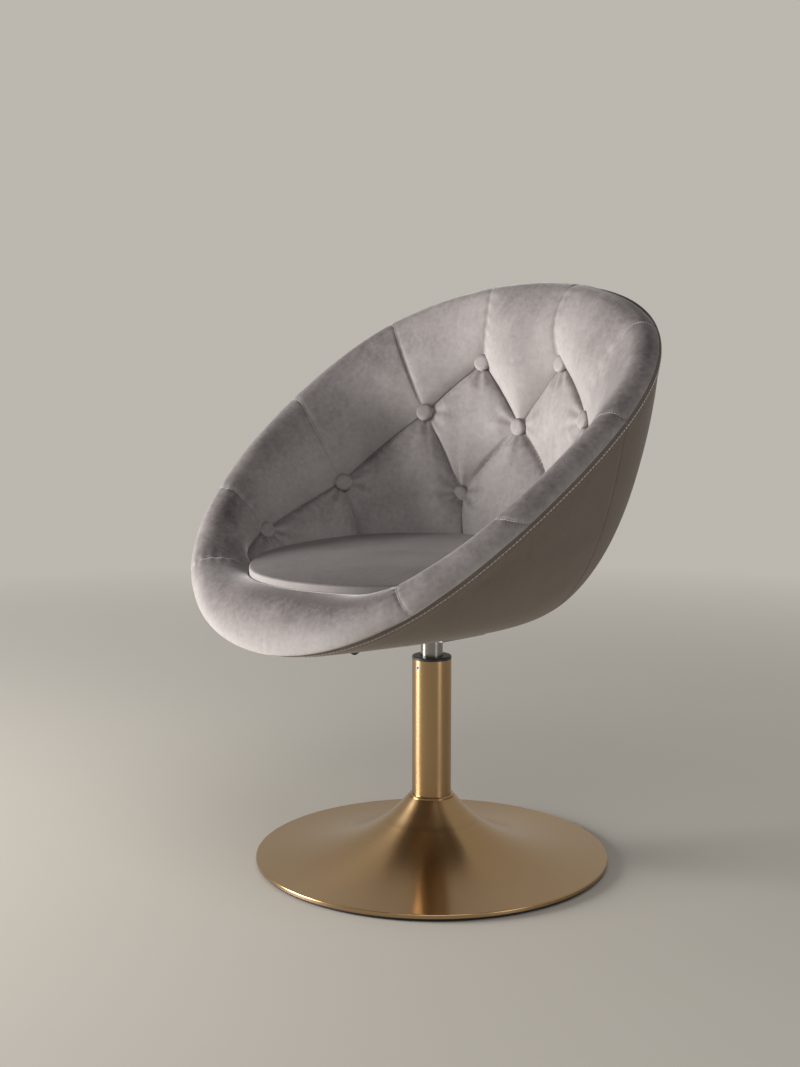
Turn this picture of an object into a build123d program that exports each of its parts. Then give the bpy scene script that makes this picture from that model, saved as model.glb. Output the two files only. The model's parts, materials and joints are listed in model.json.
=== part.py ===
from build123d import *
import os
from math import atan2, cos, sin, tan, pi, degrees, radians, sqrt

# Tufted bucket chair on a gas lift and a trumpet foot, in millimetres.
# The origin is on the floor at the column axis, +Z is up and the chair faces -Y.

# Foot
FOOT_DIAMETER = 450.0
FOOT_SHEET = 1.6
FOOT_EDGE_Z = 7.4
FOOT_LIP_Z = 4.3
FOOT_TOP_Z = 83.0
FOOT_NECK_WIDTH = 5.0
FOOT_NECK_SLOPE = 50.0
FOOT_NECK_PULL = 59.0
FOOT_EDGE_SLOPE = 1.6
FOOT_EDGE_PULL = 111.0
FLOOR_RING_HEIGHT = 4.0
FLOOR_RING_WIDTH = 22.0
FLOOR_RING_INSET = 4.0
FOOT_PLATE_THICKNESS = 3.0
WEIGHT_RADIUS = 150.0
WEIGHT_GAP = 2.0
WEIGHT_HEIGHT = 32.0
SOCKET_WALL = 3.0
SOCKET_HEIGHT = 50.0
COLLAR_WIDTH = 3.4
COLLAR_HEIGHT = 3.0

# Column and gas lift
COLUMN_RADIUS = 25.0
COLUMN_WALL = 2.0
COLUMN_TOP_Z = 261.0
CAP_HEIGHT = 4.0
CAP_SPIGOT = 14.0
SET_SCREW_RADIUS = 3.0
SET_SCREW_DROP = 9.0
SLEEVE_LENGTH = 100.0
END_DISC_LIFT = 5.0
END_DISC_THICKNESS = 4.0
RACE_OUTER_RADIUS = 16.0
RACE_INNER_RADIUS = 8.0
RACE_THICKNESS = 2.0
BALL_RADIUS = 2.0
BALL_COUNT = 10
CAGE_THICKNESS = 1.4
ROD_RADIUS = 5.0
ROD_SHOULDER_RADIUS = 9.0
ROD_SHOULDER_HEIGHT = 3.0
CLIP_THICKNESS = 1.5
CLIP_RADIUS = 9.0
BUMP_STOP_HEIGHT = 16.0
BUMP_STOP_RADIUS = 12.0
CYLINDER_RADIUS = 14.0
CYLINDER_WALL = 1.8
CYLINDER_TOP_Z = 312.0
CYLINDER_END = 6.0
CONE_LENGTH = 18.0
CONE_DRAW = 0.8
GLAND_HEIGHT = 14.0
PISTON_HEIGHT = 12.0
LIFT_STROKE = 140.0
RELEASE_PIN_RADIUS = 4.0
RELEASE_PIN_PROUD = 7.0
RELEASE_PIN_LENGTH = 24.0

# Seat plate and lever
PLATE_SHEET = 3.0
PLATE_BOX_X = 112.0
PLATE_BOX_Y = 76.0
PLATE_FLANGE_X = 150.0
PLATE_FLANGE_Y = 114.0
PLATE_HUB_WALL = 5.0
LEVER_RADIUS = 4.0
LEVER_PIVOT_X = -33.0
LEVER_HEIGHT_ABOVE_FLOOR = 12.0
LEVER_BEND_X = -60.0
LEVER_TIP_X = -147.0
LEVER_TIP_Z = 250.0
LEVER_SWING = 7.0
LEVER_PIN_RADIUS = 2.5
LEVER_BOSS_RADIUS = 6.5
LEVER_BOSS_WIDTH = 10.0
EAR_THICKNESS = 3.0
EAR_WIDTH = 13.0
GRIP_LENGTH = 42.0
GRIP_RADIUS = 7.0
BOLT_X = 62.0
BOLT_Y = 44.0
BOLT_RADIUS = 4.0
BOLT_HEAD_RADIUS = 6.5
BOLT_HEAD_HEIGHT = 5.5
TEE_NUT_RADIUS = 9.5
TEE_NUT_FLANGE = 1.5
TEE_NUT_WALL = 1.2
BOARD_RADIUS = 112.0
BOARD_THICKNESS = 12.0
BOARD_POCKET_RADIUS = 44.0
BOARD_POCKET_ROOF = 4.0

# Rim of the bucket, a tilted egg-shaped curve in the middle of the roll.
# Its parameter u is an angle in degrees, 0 at the front and 180 at the back.
RIM_HALF_WIDTH = 296.0
RIM_HALF_LENGTH = 298.0
RIM_TILT = 40.1
RIM_CENTRE_Y = -30.0
RIM_CENTRE_Z = 520.0
RIM_EGG = 0.091
RIM_SQUARE = 0.093
RIM_SAG_TWO = -3.9
RIM_SAG_THREE = -5.2
ROLL_RADIUS = 24.0
PIPING_ANGLE = 12.0
SEAM_GATHER_Y = 70.0

# Walls of the bucket
BUCKET_BOTTOM_Z = 318.0
BUCKET_BOTTOM_RADIUS = 204.0
BUCKET_BOTTOM_SAG = 8.0
BUCKET_HOLE_RADIUS = 95.0
WALL_BULGE = 0.08
FRONT_BULGE = 0.05
FRONT_PIPING_SWELL = 0.15
COVER_THICKNESS = 2.5
SHELL_THICKNESS = 8.0
HEM_WIDTH = 13.0
HEM_PROUD = 1.4
COVER_SEAM = 102.0
SHELL_STEPS = 24
FRONT_COVER_STEPS = 22
BACK_COVER_STEPS = 18

# Upholstery
FRONT_SEAM = 39.0
BUTTON_ANGLES = (68.0, 104.0, 142.0, 165.5)
BUTTON_HEIGHTS = (412.0, 468.0, 561.0, 631.0)
LOWER_BUTTON_ANGLE = 157.0
LOWER_BUTTON_HEIGHT = 453.0
CENTRE_BUTTON_HEIGHT = 548.0
BUTTON_RADIUS = 11.5
BUTTON_DOME = 6.0
BUTTON_EDGE = 3.0
BUTTON_LIFTS = (7.6, 3.5, 3.4, 6.7)
LOWER_BUTTON_LIFT = 12.6
CENTRE_BUTTON_LIFT = 6.6
SEAM_DEPTHS = ((372.0, 14.0), (470.0, 38.0), (555.0, 47.0), (640.0, 33.0))
SEAM_DRAW = 0.92
ROLL_SEAM_TURN = 17.0
ROLL_FULL_TURN = 34.0
LINING_PUFF = 15.0
LINING_PUFF_SHARE = 0.15
LINING_SEAM_PUFF = 0.15
FRONT_SWELL = 0.33
LINING_FOOT_Z = 372.0
LINING_START = 44.0
CUSHION_BOTTOM_Z = 371.0
CUSHION_EDGE = 20.0
CUSHION_CROWN = 12.0
CUSHION_DRAW = 7.0
CUSHION_HALF_WIDTH = 192.0
CUSHION_FRONT = 206.0
CUSHION_BACK = 160.0
CUSHION_CENTRE_Y = -36.0
CUSHION_ROOM = 5.0
CUSHION_SLICES = 11
PAD_INSET = 8.0
ROLL_FOOT_Z = 379.0

# Clearances
RUN_FIT = 0.05
SEAT_FIT = 0.02
SOFT_GAP = 0.3
SEAM_GAP = 1.0
BACK_GAP = 0.8
ROLL_SEAT_GAP = 1.5


# Revolved and small helpers

def turned(points):
    """A solid of revolution about Z from an outline of (radius, height) points."""
    outline = Polyline(*[(r, 0, z) for r, z in points], close=True)
    return revolve(make_face(outline), Axis.Z)


def ring(inner, outer, low, high):
    """A plain ring, or a disc when the inner radius is zero."""
    return turned([(inner, low), (outer, low), (outer, high), (inner, high)])


def rod(start, end, radius):
    """A round bar between two points."""
    line = Vector(end) - Vector(start)
    return Solid.make_cylinder(radius, line.length, Plane(start, z_dir=line))


def save(name, shape):
    """Write one node."""
    export_step(shape, f"parts/{name}.step")


# Heights that several pieces share

FOOT_RADIUS = FOOT_DIAMETER / 2
PLATE_TOP_Z = FLOOR_RING_HEIGHT + FOOT_PLATE_THICKNESS
COLUMN_BORE = COLUMN_RADIUS - COLUMN_WALL
DISC_LOW = PLATE_TOP_Z + END_DISC_LIFT
DISC_TOP = DISC_LOW + END_DISC_THICKNESS
BALL_Z = DISC_TOP + RACE_THICKNESS + BALL_RADIUS
UPPER_RACE_Z = BALL_Z + BALL_RADIUS
SHOULDER_Z = UPPER_RACE_Z + RACE_THICKNESS
BUMP_Z = SHOULDER_Z + ROD_SHOULDER_HEIGHT
CYLINDER_LOW_Z = BUMP_Z + BUMP_STOP_HEIGHT + SOFT_GAP
CYLINDER_BORE = CYLINDER_RADIUS - CYLINDER_WALL
GLAND_LOW_Z = CYLINDER_LOW_Z + 2 * CYLINDER_WALL
PISTON_LOW_Z = GLAND_LOW_Z + GLAND_HEIGHT + LIFT_STROKE + PISTON_HEIGHT
SLEEVE_TOP_Z = COLUMN_TOP_Z - CAP_SPIGOT
BOX_FLOOR_Z = CYLINDER_TOP_Z - CONE_LENGTH
BOX_FLOOR_TOP = BOX_FLOOR_Z + PLATE_SHEET
LEVER_Z = BOX_FLOOR_TOP + LEVER_HEIGHT_ABOVE_FLOOR
RELEASE_PIN_TOP = CYLINDER_TOP_Z + RELEASE_PIN_PROUD
PRESS_Z = RELEASE_PIN_TOP + SOFT_GAP + LEVER_RADIUS


# Foot

def foot_profile(drop):
    """The trumpet's curve, steep at the column and nearly flat at the edge, a little lower."""
    start = Vector(COLUMN_RADIUS + FOOT_NECK_WIDTH, 0, FOOT_TOP_Z - drop)
    end = Vector(FOOT_RADIUS - FOOT_SHEET, 0, FOOT_EDGE_Z + FOOT_SHEET - drop)
    steep = radians(FOOT_NECK_SLOPE)
    level = radians(FOOT_EDGE_SLOPE)
    upper = start + Vector(cos(steep), 0, -sin(steep)) * FOOT_NECK_PULL
    lower = end - Vector(cos(level), 0, -sin(level)) * FOOT_EDGE_PULL
    return Edge.make_bezier(start, upper, lower, end)


def foot_cover():
    """Spun brass dish: the same curve twice, one sheet apart, with a neck and a turned-down lip."""
    outside = foot_profile(0)
    inside = foot_profile(FOOT_SHEET)
    neck = COLUMN_RADIUS + RUN_FIT
    edge = outside.position_at(1)
    turn = inside.position_at(1)
    corner = turn + Vector(FOOT_SHEET, 0, 0) * cos(pi / 4) + Vector(0, 0, FOOT_SHEET) * sin(pi / 4)
    low = Vector(FOOT_RADIUS, 0, FOOT_LIP_Z)
    corners = [
        (turn + Vector(FOOT_SHEET, 0, 0), low),
        (low, low - Vector(FOOT_SHEET, 0, 0)),
        (low - Vector(FOOT_SHEET, 0, 0), turn),
        (inside.position_at(0), Vector(neck, 0, FOOT_TOP_Z - FOOT_SHEET)),
        (Vector(neck, 0, FOOT_TOP_Z - FOOT_SHEET), Vector(neck, 0, FOOT_TOP_Z)),
        (Vector(neck, 0, FOOT_TOP_Z), outside.position_at(0)),
    ]
    loop = [outside, inside, Edge.make_three_point_arc(edge, corner, turn + Vector(FOOT_SHEET, 0, 0))]
    loop += [Edge.make_line(a, b) for a, b in corners]
    return revolve(Face(Wire(loop)), Axis.Z)


def floor_ring():
    outer = FOOT_RADIUS - FLOOR_RING_INSET
    return ring(outer - FLOOR_RING_WIDTH, outer, 0, FLOOR_RING_HEIGHT)


def foot_plate():
    outer = FOOT_RADIUS - FLOOR_RING_INSET
    return ring(COLUMN_BORE - COLUMN_WALL, outer, FLOOR_RING_HEIGHT, PLATE_TOP_Z)


def foot_weight():
    """Cast disc that follows the dish from below."""
    bore = COLUMN_RADIUS + SOCKET_WALL + SEAT_FIT
    curve = foot_profile(FOOT_SHEET + WEIGHT_GAP)
    start = curve.position_at(0)
    end = curve.position_at(1)
    under = [
        curve,
        Edge.make_line(end, Vector(end.X, 0, 0)),
        Edge.make_line(Vector(end.X, 0, 0), Vector(start.X, 0, 0)),
        Edge.make_line(Vector(start.X, 0, 0), start),
    ]
    dish = revolve(Face(Wire(under)), Axis.Z)
    return dish & ring(bore, WEIGHT_RADIUS, PLATE_TOP_Z, PLATE_TOP_Z + WEIGHT_HEIGHT)


def column_socket():
    bore = COLUMN_RADIUS + SEAT_FIT
    return ring(bore, bore + SOCKET_WALL - SEAT_FIT, PLATE_TOP_Z, PLATE_TOP_Z + SOCKET_HEIGHT)


def foot_collar():
    bore = COLUMN_RADIUS + SEAT_FIT
    low = FOOT_TOP_Z
    outer = COLUMN_RADIUS + COLLAR_WIDTH
    chamfer_size = COLLAR_WIDTH / 3
    return turned([
        (bore, low),
        (outer, low),
        (outer, low + COLLAR_HEIGHT - chamfer_size),
        (outer - chamfer_size, low + COLLAR_HEIGHT),
        (bore, low + COLLAR_HEIGHT),
    ])


# Column and gas lift

SCREW_Z = COLUMN_TOP_Z - SET_SCREW_DROP
SCREW_HOLE = SET_SCREW_RADIUS + SEAT_FIT


def column_tube():
    tube = ring(COLUMN_BORE, COLUMN_RADIUS, PLATE_TOP_Z, COLUMN_TOP_Z)
    return tube - rod((0, 0, SCREW_Z), (0, -2 * COLUMN_RADIUS, SCREW_Z), SCREW_HOLE)


def column_cap():
    bore = CYLINDER_RADIUS + 2 * SOFT_GAP
    spigot = COLUMN_BORE - SEAT_FIT
    top = COLUMN_TOP_Z + CAP_HEIGHT
    cap = turned([
        (bore, SLEEVE_TOP_Z),
        (spigot, SLEEVE_TOP_Z),
        (spigot, COLUMN_TOP_Z),
        (COLUMN_RADIUS, COLUMN_TOP_Z),
        (COLUMN_RADIUS, top - 1),
        (COLUMN_RADIUS - 1, top),
        (bore, top),
    ])
    return cap - rod((0, -bore - 2, SCREW_Z), (0, -2 * COLUMN_RADIUS, SCREW_Z), SCREW_HOLE)


def set_screw():
    """Socket-head grub screw, flush with the tube, that holds the cap."""
    bore = CYLINDER_RADIUS + 2 * SOFT_GAP
    start = Vector(0, -bore - 2, SCREW_Z)
    end = Vector(0, -COLUMN_RADIUS + 0.2, SCREW_Z)
    body = rod(start, end, SET_SCREW_RADIUS)
    socket = Plane(end, x_dir=(1, 0, 0), z_dir=(0, 1, 0)) * RegularPolygon(SET_SCREW_RADIUS / 2, 6)
    return body - extrude(socket, 2)


def guide_sleeve():
    return ring(
        CYLINDER_RADIUS + RUN_FIT,
        COLUMN_BORE - SEAT_FIT,
        SLEEVE_TOP_Z - SLEEVE_LENGTH,
        SLEEVE_TOP_Z,
    )


def column_end_disc():
    return ring(ROD_RADIUS + RUN_FIT, COLUMN_BORE - SEAT_FIT, DISC_LOW, DISC_TOP)


def race(low):
    return ring(RACE_INNER_RADIUS, RACE_OUTER_RADIUS, low, low + RACE_THICKNESS)


def ball_places():
    pitch = (RACE_INNER_RADIUS + RACE_OUTER_RADIUS) / 2
    turns = [2 * pi * k / BALL_COUNT for k in range(BALL_COUNT)]
    return [Pos(pitch * cos(a), pitch * sin(a), BALL_Z) for a in turns]


def bearing_balls():
    ball = Solid.make_sphere(BALL_RADIUS - SEAT_FIT, angle1=-90, angle2=90)
    return Compound(children=[place * ball for place in ball_places()])


def bearing_cage():
    half = CAGE_THICKNESS / 2
    cage = ring(RACE_INNER_RADIUS + 0.5, RACE_OUTER_RADIUS - 0.5, BALL_Z - half, BALL_Z + half)
    for place in ball_places():
        cage -= place * Cylinder(BALL_RADIUS + RUN_FIT, 4 * CAGE_THICKNESS)
    return cage


def piston_rod():
    low = DISC_LOW - 2 * CLIP_THICKNESS
    top = PISTON_LOW_Z + PISTON_HEIGHT
    groove_low = DISC_LOW - CLIP_THICKNESS
    neck = ROD_RADIUS - 1.0
    return turned([
        (0, low),
        (ROD_RADIUS, low),
        (ROD_RADIUS, groove_low - RUN_FIT),
        (neck, groove_low - RUN_FIT),
        (neck, DISC_LOW),
        (ROD_RADIUS, DISC_LOW),
        (ROD_RADIUS, SHOULDER_Z),
        (ROD_SHOULDER_RADIUS, SHOULDER_Z),
        (ROD_SHOULDER_RADIUS, BUMP_Z),
        (ROD_RADIUS, BUMP_Z),
        (ROD_RADIUS, PISTON_LOW_Z),
        (CYLINDER_BORE - RUN_FIT, PISTON_LOW_Z),
        (CYLINDER_BORE - RUN_FIT, top),
        (0, top),
    ])


def retaining_clip():
    """Split ring in the rod's groove, just below the end disc."""
    neck = ROD_RADIUS - 1.0 + SEAT_FIT
    low = DISC_LOW - CLIP_THICKNESS
    high = DISC_LOW - RUN_FIT
    slot = Pos(CLIP_RADIUS, 0, low) * Box(2 * CLIP_RADIUS, 2 * ROD_RADIUS - 4, 4 * CLIP_THICKNESS)
    return ring(neck, CLIP_RADIUS, low, high) - slot


def bump_stop():
    bore = ROD_RADIUS + RUN_FIT
    waist = (BUMP_STOP_RADIUS + bore) / 2
    mid = BUMP_Z + BUMP_STOP_HEIGHT / 2
    return turned([
        (bore, BUMP_Z),
        (BUMP_STOP_RADIUS, BUMP_Z),
        (waist, mid),
        (BUMP_STOP_RADIUS, BUMP_Z + BUMP_STOP_HEIGHT),
        (bore, BUMP_Z + BUMP_STOP_HEIGHT),
    ])


def gas_cylinder():
    """Pressure tube with a drawn-in cone at the top and a rolled-in lip at the bottom."""
    cone = CYLINDER_RADIUS - CONE_DRAW
    lip = CYLINDER_BORE - CYLINDER_WALL
    pin_bore = RELEASE_PIN_RADIUS + RUN_FIT
    return turned([
        (lip, CYLINDER_LOW_Z),
        (CYLINDER_RADIUS, CYLINDER_LOW_Z),
        (CYLINDER_RADIUS, BOX_FLOOR_Z),
        (cone, CYLINDER_TOP_Z),
        (pin_bore, CYLINDER_TOP_Z),
        (pin_bore, CYLINDER_TOP_Z - CYLINDER_END),
        (CYLINDER_BORE, CYLINDER_TOP_Z - CYLINDER_END),
        (CYLINDER_BORE, GLAND_LOW_Z),
        (lip, GLAND_LOW_Z),
    ])


def cylinder_gland():
    return ring(
        ROD_RADIUS + RUN_FIT, CYLINDER_BORE - SEAT_FIT, GLAND_LOW_Z, GLAND_LOW_Z + GLAND_HEIGHT
    )


def release_pin():
    return ring(0, RELEASE_PIN_RADIUS, RELEASE_PIN_TOP - RELEASE_PIN_LENGTH, RELEASE_PIN_TOP)


# Seat plate and lever

PLATE_TOP = BUCKET_BOTTOM_Z
LEVER_PIVOT = Vector(LEVER_PIVOT_X, 0, LEVER_Z)
EAR_INNER = LEVER_BOSS_WIDTH / 2 + SOFT_GAP


def seat_plate():
    """Pressed hat plate: flange under the bucket, box below it, cone hub and lever ears."""
    flange = Pos(0, 0, PLATE_TOP - PLATE_SHEET / 2) * Box(PLATE_FLANGE_X, PLATE_FLANGE_Y, PLATE_SHEET)
    depth = PLATE_TOP - BOX_FLOOR_Z
    outer = Pos(0, 0, PLATE_TOP - depth / 2) * Box(PLATE_BOX_X, PLATE_BOX_Y, depth)
    inner_depth = PLATE_TOP - BOX_FLOOR_TOP
    inner = Pos(0, 0, PLATE_TOP - inner_depth / 2) * Box(
        PLATE_BOX_X - 2 * PLATE_SHEET, PLATE_BOX_Y - 2 * PLATE_SHEET, inner_depth
    )
    hub = ring(0, CYLINDER_RADIUS + PLATE_HUB_WALL, BOX_FLOOR_Z, CYLINDER_TOP_Z)
    cone = CYLINDER_RADIUS + SEAT_FIT
    bore = turned([
        (0, BOX_FLOOR_Z),
        (cone, BOX_FLOOR_Z),
        (cone - CONE_DRAW, CYLINDER_TOP_Z),
        (0, CYLINDER_TOP_Z),
    ])
    plate = flange + outer - inner + hub - bore
    ear_top = LEVER_Z + EAR_WIDTH / 2
    ear_height = ear_top - BOX_FLOOR_TOP
    for side in (-1, 1):
        ear_y = side * (EAR_INNER + EAR_THICKNESS / 2)
        plate += Pos(LEVER_PIVOT_X, ear_y, BOX_FLOOR_TOP + ear_height / 2) * Box(
            EAR_WIDTH, EAR_THICKNESS, ear_height
        )
    plate -= pivot_bar(LEVER_PIN_RADIUS + SEAT_FIT, PLATE_BOX_Y / 2)
    swing_room = (LEVER_PIVOT_X - LEVER_BEND_X) * sin(radians(LEVER_SWING)) + SOFT_GAP
    slot_low = LEVER_Z - LEVER_RADIUS - swing_room
    slot_height = PLATE_TOP + PLATE_SHEET - slot_low
    plate -= Pos(LEVER_BEND_X, 0, slot_low + slot_height / 2) * Box(
        5 * LEVER_RADIUS, 4 * LEVER_RADIUS, slot_height
    )
    for x, y in bolt_places():
        plate -= rod((x, y, PLATE_TOP - 2 * PLATE_SHEET), (x, y, PLATE_TOP), BOLT_RADIUS + SOFT_GAP)
    return plate


def pivot_bar(radius, length):
    """A bar along Y, centred on the lever's pivot."""
    half = Vector(0, length / 2, 0)
    return rod(LEVER_PIVOT - half, LEVER_PIVOT + half, radius)


def lever_pin():
    return pivot_bar(LEVER_PIN_RADIUS, 2 * (EAR_INNER + EAR_THICKNESS) + 3)


def lever_route():
    """Corner points of the bent rod, from over the release pin to the tip."""
    crank_x = LEVER_PIVOT_X + LEVER_BOSS_RADIUS + 1.0
    return [
        Vector(RELEASE_PIN_RADIUS, 0, PRESS_Z),
        Vector(crank_x, 0, PRESS_Z),
        Vector(crank_x, 0, LEVER_Z),
        Vector(LEVER_BEND_X, 0, LEVER_Z),
        Vector(LEVER_TIP_X, 0, LEVER_TIP_Z),
    ]


def height_lever():
    """Bent rod with a boss at the pivot."""
    points = lever_route()
    lever = pivot_bar(LEVER_BOSS_RADIUS, LEVER_BOSS_WIDTH)
    for start, end in zip(points, points[1:]):
        lever += rod(start, end, LEVER_RADIUS)
    for corner in points[1:-1]:
        lever += Pos(corner) * Sphere(LEVER_RADIUS)
    return lever - pivot_bar(LEVER_PIN_RADIUS + RUN_FIT, 2 * LEVER_BOSS_WIDTH)


def lever_grip():
    """Plastic sleeve over the end of the lever."""
    bend, tip = lever_route()[-2:]
    along = (tip - bend).normalized()
    start = tip - along * (GRIP_LENGTH - 4)
    end = tip + along * 4
    body = rod(start, end, GRIP_RADIUS)
    body = fillet(body.edges(), GRIP_RADIUS / 3)
    return body - rod(start - along, tip, LEVER_RADIUS + SEAT_FIT)


def bolt_places():
    return [(sx * BOLT_X, sy * BOLT_Y) for sx in (-1, 1) for sy in (-1, 1)]


# Bucket geometry: every section lies in an upright plane through the gather axis.
# A section point is Vector(distance from that axis, height).

def rim_point(u):
    angle = radians(u)
    tilt = radians(RIM_TILT)
    half_width = RIM_HALF_WIDTH * (1 - RIM_EGG * cos(angle) + RIM_SQUARE * cos(2 * angle))
    run = -RIM_HALF_LENGTH * cos(angle)
    sag = RIM_SAG_TWO * cos(2 * angle) + RIM_SAG_THREE * cos(3 * angle)
    return Vector(
        half_width * sin(angle),
        RIM_CENTRE_Y + run * cos(tilt) - sag * sin(tilt),
        RIM_CENTRE_Z + run * sin(tilt) + sag * cos(tilt),
    )


def station(u):
    """Outward direction of a section plane, the rim's place in it, and the rim's direction."""
    point = rim_point(u)
    flat = Vector(point.X, point.Y - SEAM_GATHER_Y, 0)
    along = (rim_point(u + 0.5) - rim_point(u - 0.5)).normalized()
    return flat.normalized(), Vector(flat.length, point.Z), along


def place(u, spot):
    """A section point as a point in space."""
    outward = station(u)[0]
    return Vector(outward.X * spot.X, SEAM_GATHER_Y + outward.Y * spot.X, spot.Y)


def spread(u):
    """How much longer a thickness shows in a section plane that isn't square to the rim."""
    outward, _, along = station(u)
    square = Vector(along.Y, -along.X, 0).normalized()
    return 1 / abs(outward.dot(square))


def roll_point(u, psi, swell=1.0):
    """Point of the roll's round surface at an angle above the outward direction."""
    outward, centre, along = station(u)
    angle = radians(psi)
    lean = cos(angle) * outward.dot(along) + sin(angle) * along.Z
    radius = swell * ROLL_RADIUS / sqrt(1 - lean * lean)
    return centre + Vector(radius * cos(angle), radius * sin(angle))


def reach(u, radius):
    """Distance from the gather axis to a circle about the column."""
    along = SEAM_GATHER_Y * station(u)[0].Y
    return -along + sqrt(radius**2 - SEAM_GATHER_Y**2 + along**2)


def seat_reach(u):
    """Distance from the gather axis to the cushion's outline, an ellipse with a shorter back."""
    outward = station(u)[0]
    offset = SEAM_GATHER_Y - CUSHION_CENTRE_Y
    for depth in (CUSHION_FRONT, CUSHION_BACK):
        a = (outward.X / CUSHION_HALF_WIDTH) ** 2 + (outward.Y / depth) ** 2
        b = offset * outward.Y / depth**2
        c = (offset / depth) ** 2 - 1
        distance = (sqrt(b * b - a * c) - b) / a
        if offset + outward.Y * distance < 0:
            break
    return distance


def piping_angle(u):
    return PIPING_ANGLE - RIM_TILT * cos(radians(u))


def front_share(u):
    """1 at the front of the rim, falling to 0 at the back."""
    return ((1 + cos(radians(u))) / 2) ** 4


def wall_controls(u, inset):
    """Bezier points of the wall from the piping to the bottom hole, set in by a thickness."""
    top = roll_point(u, piping_angle(u), 1 + FRONT_PIPING_SWELL * front_share(u))
    corner = Vector(reach(u, BUCKET_BOTTOM_RADIUS), BUCKET_BOTTOM_Z - BUCKET_BOTTOM_SAG)
    hole = Vector(reach(u, BUCKET_HOLE_RADIUS), BUCKET_BOTTOM_Z + inset)
    run = (corner - top).length
    down = (corner - top).normalized()
    inward = Vector(down.Y, -down.X)
    thick = inset * (1 + (spread(u) - 1) * abs(inward.X))
    bulge = WALL_BULGE + FRONT_BULGE * front_share(u)
    middle = top + down * (run / 2) - inward * (bulge * run)
    turn = -down.Y / (1 - down.X)
    inner_corner = corner + Vector(-inset * spread(u) * turn, inset)
    return [top + inward * thick, middle + inward * thick, inner_corner, hole]


def curve_point(controls, s):
    a, b, c, d = controls
    return a * (1 - s) ** 3 + b * (3 * s * (1 - s) ** 2) + c * (3 * s * s * (1 - s)) + d * s**3


def curve_inward(controls, s):
    """Unit vector square to the wall's curve, towards the seat."""
    step = 0.01
    run = curve_point(controls, s + step) - curve_point(controls, s - step)
    return Vector(run.Y, -run.X).normalized()


def curve_tail(controls, s):
    """The same curve from s to its end, by repeated linear steps."""
    row = controls
    tail = [row[-1]]
    while len(row) > 1:
        row = [p + (q - p) * s for p, q in zip(row, row[1:])]
        tail.insert(0, row[-1])
    return tail


SHELL_OUTSIDE = COVER_THICKNESS + SOFT_GAP
SHELL_INSIDE = SHELL_OUTSIDE + SHELL_THICKNESS


def wall_place(u, height, depth):
    """Point of the shell's inner face whose padding of a depth ends at a height, and its inward."""
    controls = wall_controls(u, SHELL_INSIDE)
    low, high = 0.0, 0.95
    for _ in range(30):
        middle = (low + high) / 2
        inward = curve_inward(controls, middle)
        if curve_point(controls, middle).Y + inward.Y * depth > height:
            low = middle
        else:
            high = middle
    return curve_point(controls, low), curve_inward(controls, low)


def wall_nearest(u, spot):
    """The point of the shell's inner face nearest to a section point, and its inward direction."""
    controls = wall_controls(u, SHELL_INSIDE)
    steps = [k / 200 for k in range(2, 190)]
    best = min(steps, key=lambda s: (curve_point(controls, s) - spot).length)
    return curve_point(controls, best), curve_inward(controls, best)


def section_wire(u, corners, arcs):
    """Closed section: straight edges between corners, or arcs through the given points."""
    points = [place(u, corner) for corner in corners]
    edges = []
    for k, start in enumerate(points):
        end = points[(k + 1) % len(points)]
        if k in arcs:
            edges.append(Edge.make_three_point_arc(start, place(u, arcs[k]), end))
        else:
            edges.append(Edge.make_line(start, end))
    return Wire(edges)


def bezier_edge(u, controls):
    return Edge.make_bezier(*[place(u, spot) for spot in controls])


def line_edge(u, start, end):
    return Edge.make_line(place(u, start), place(u, end))


def steps_between(first, last, count):
    return [first + (last - first) * k / count for k in range(count + 1)]


# Bucket shell and outer cover

def shell_section(u):
    outside = wall_controls(u, SHELL_OUTSIDE)
    inside = wall_controls(u, SHELL_INSIDE)
    return Wire([
        bezier_edge(u, outside),
        line_edge(u, outside[-1], inside[-1]),
        bezier_edge(u, inside[::-1]),
        line_edge(u, inside[0], outside[0]),
    ])


def bucket_shell():
    half = Solid.make_loft([shell_section(u) for u in steps_between(0, 180, SHELL_STEPS)])
    return half + half.mirror(Plane.YZ)


def cover_section(u):
    """Thin cover with a folded hem, a little proud, below the piping."""
    outside = wall_controls(u, 0)
    inside = wall_controls(u, COVER_THICKNESS)
    length = sum((q - p).length for p, q in zip(outside, outside[1:]))
    fold = 0.0
    while (curve_point(outside, fold) - outside[0]).length < HEM_WIDTH:
        fold += 0.2 / length
    tail = curve_tail(outside, fold)
    proud = (outside[0] - inside[0]).normalized() * HEM_PROUD
    return Wire([
        line_edge(u, outside[0] + proud, tail[0] + proud),
        line_edge(u, tail[0] + proud, tail[0]),
        bezier_edge(u, tail),
        line_edge(u, outside[-1], inside[-1]),
        bezier_edge(u, inside[::-1]),
        line_edge(u, inside[0], outside[0] + proud),
    ])


def cover_panel(first, last, count):
    return Solid.make_loft([cover_section(u) for u in steps_between(first, last, count)])


# Padded panels

BUTTON_LINE = [
    *zip(BUTTON_ANGLES, BUTTON_HEIGHTS),
    (180.0, CENTRE_BUTTON_HEIGHT),
]
LOWER_LINE = [
    (BUTTON_ANGLES[2], BUTTON_HEIGHTS[2]),
    (LOWER_BUTTON_ANGLE, LOWER_BUTTON_HEIGHT),
    (180.0, CENTRE_BUTTON_HEIGHT),
]


def between(line, at):
    """Value of a line of (place, value) corners, straight between them and level before them."""
    at = max(at, line[0][0])
    for (a0, v0), (a1, v1) in zip(line, line[1:]):
        if a0 <= at <= a1:
            return v0 + (v1 - v0) * (at - a0) / (a1 - a0)
    return line[-1][1]


def line_height(line, u):
    """Height of a seam line at a section, alike on both sides."""
    return between(line, abs(u) if abs(u) <= 180 else 360 - abs(u))


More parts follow.
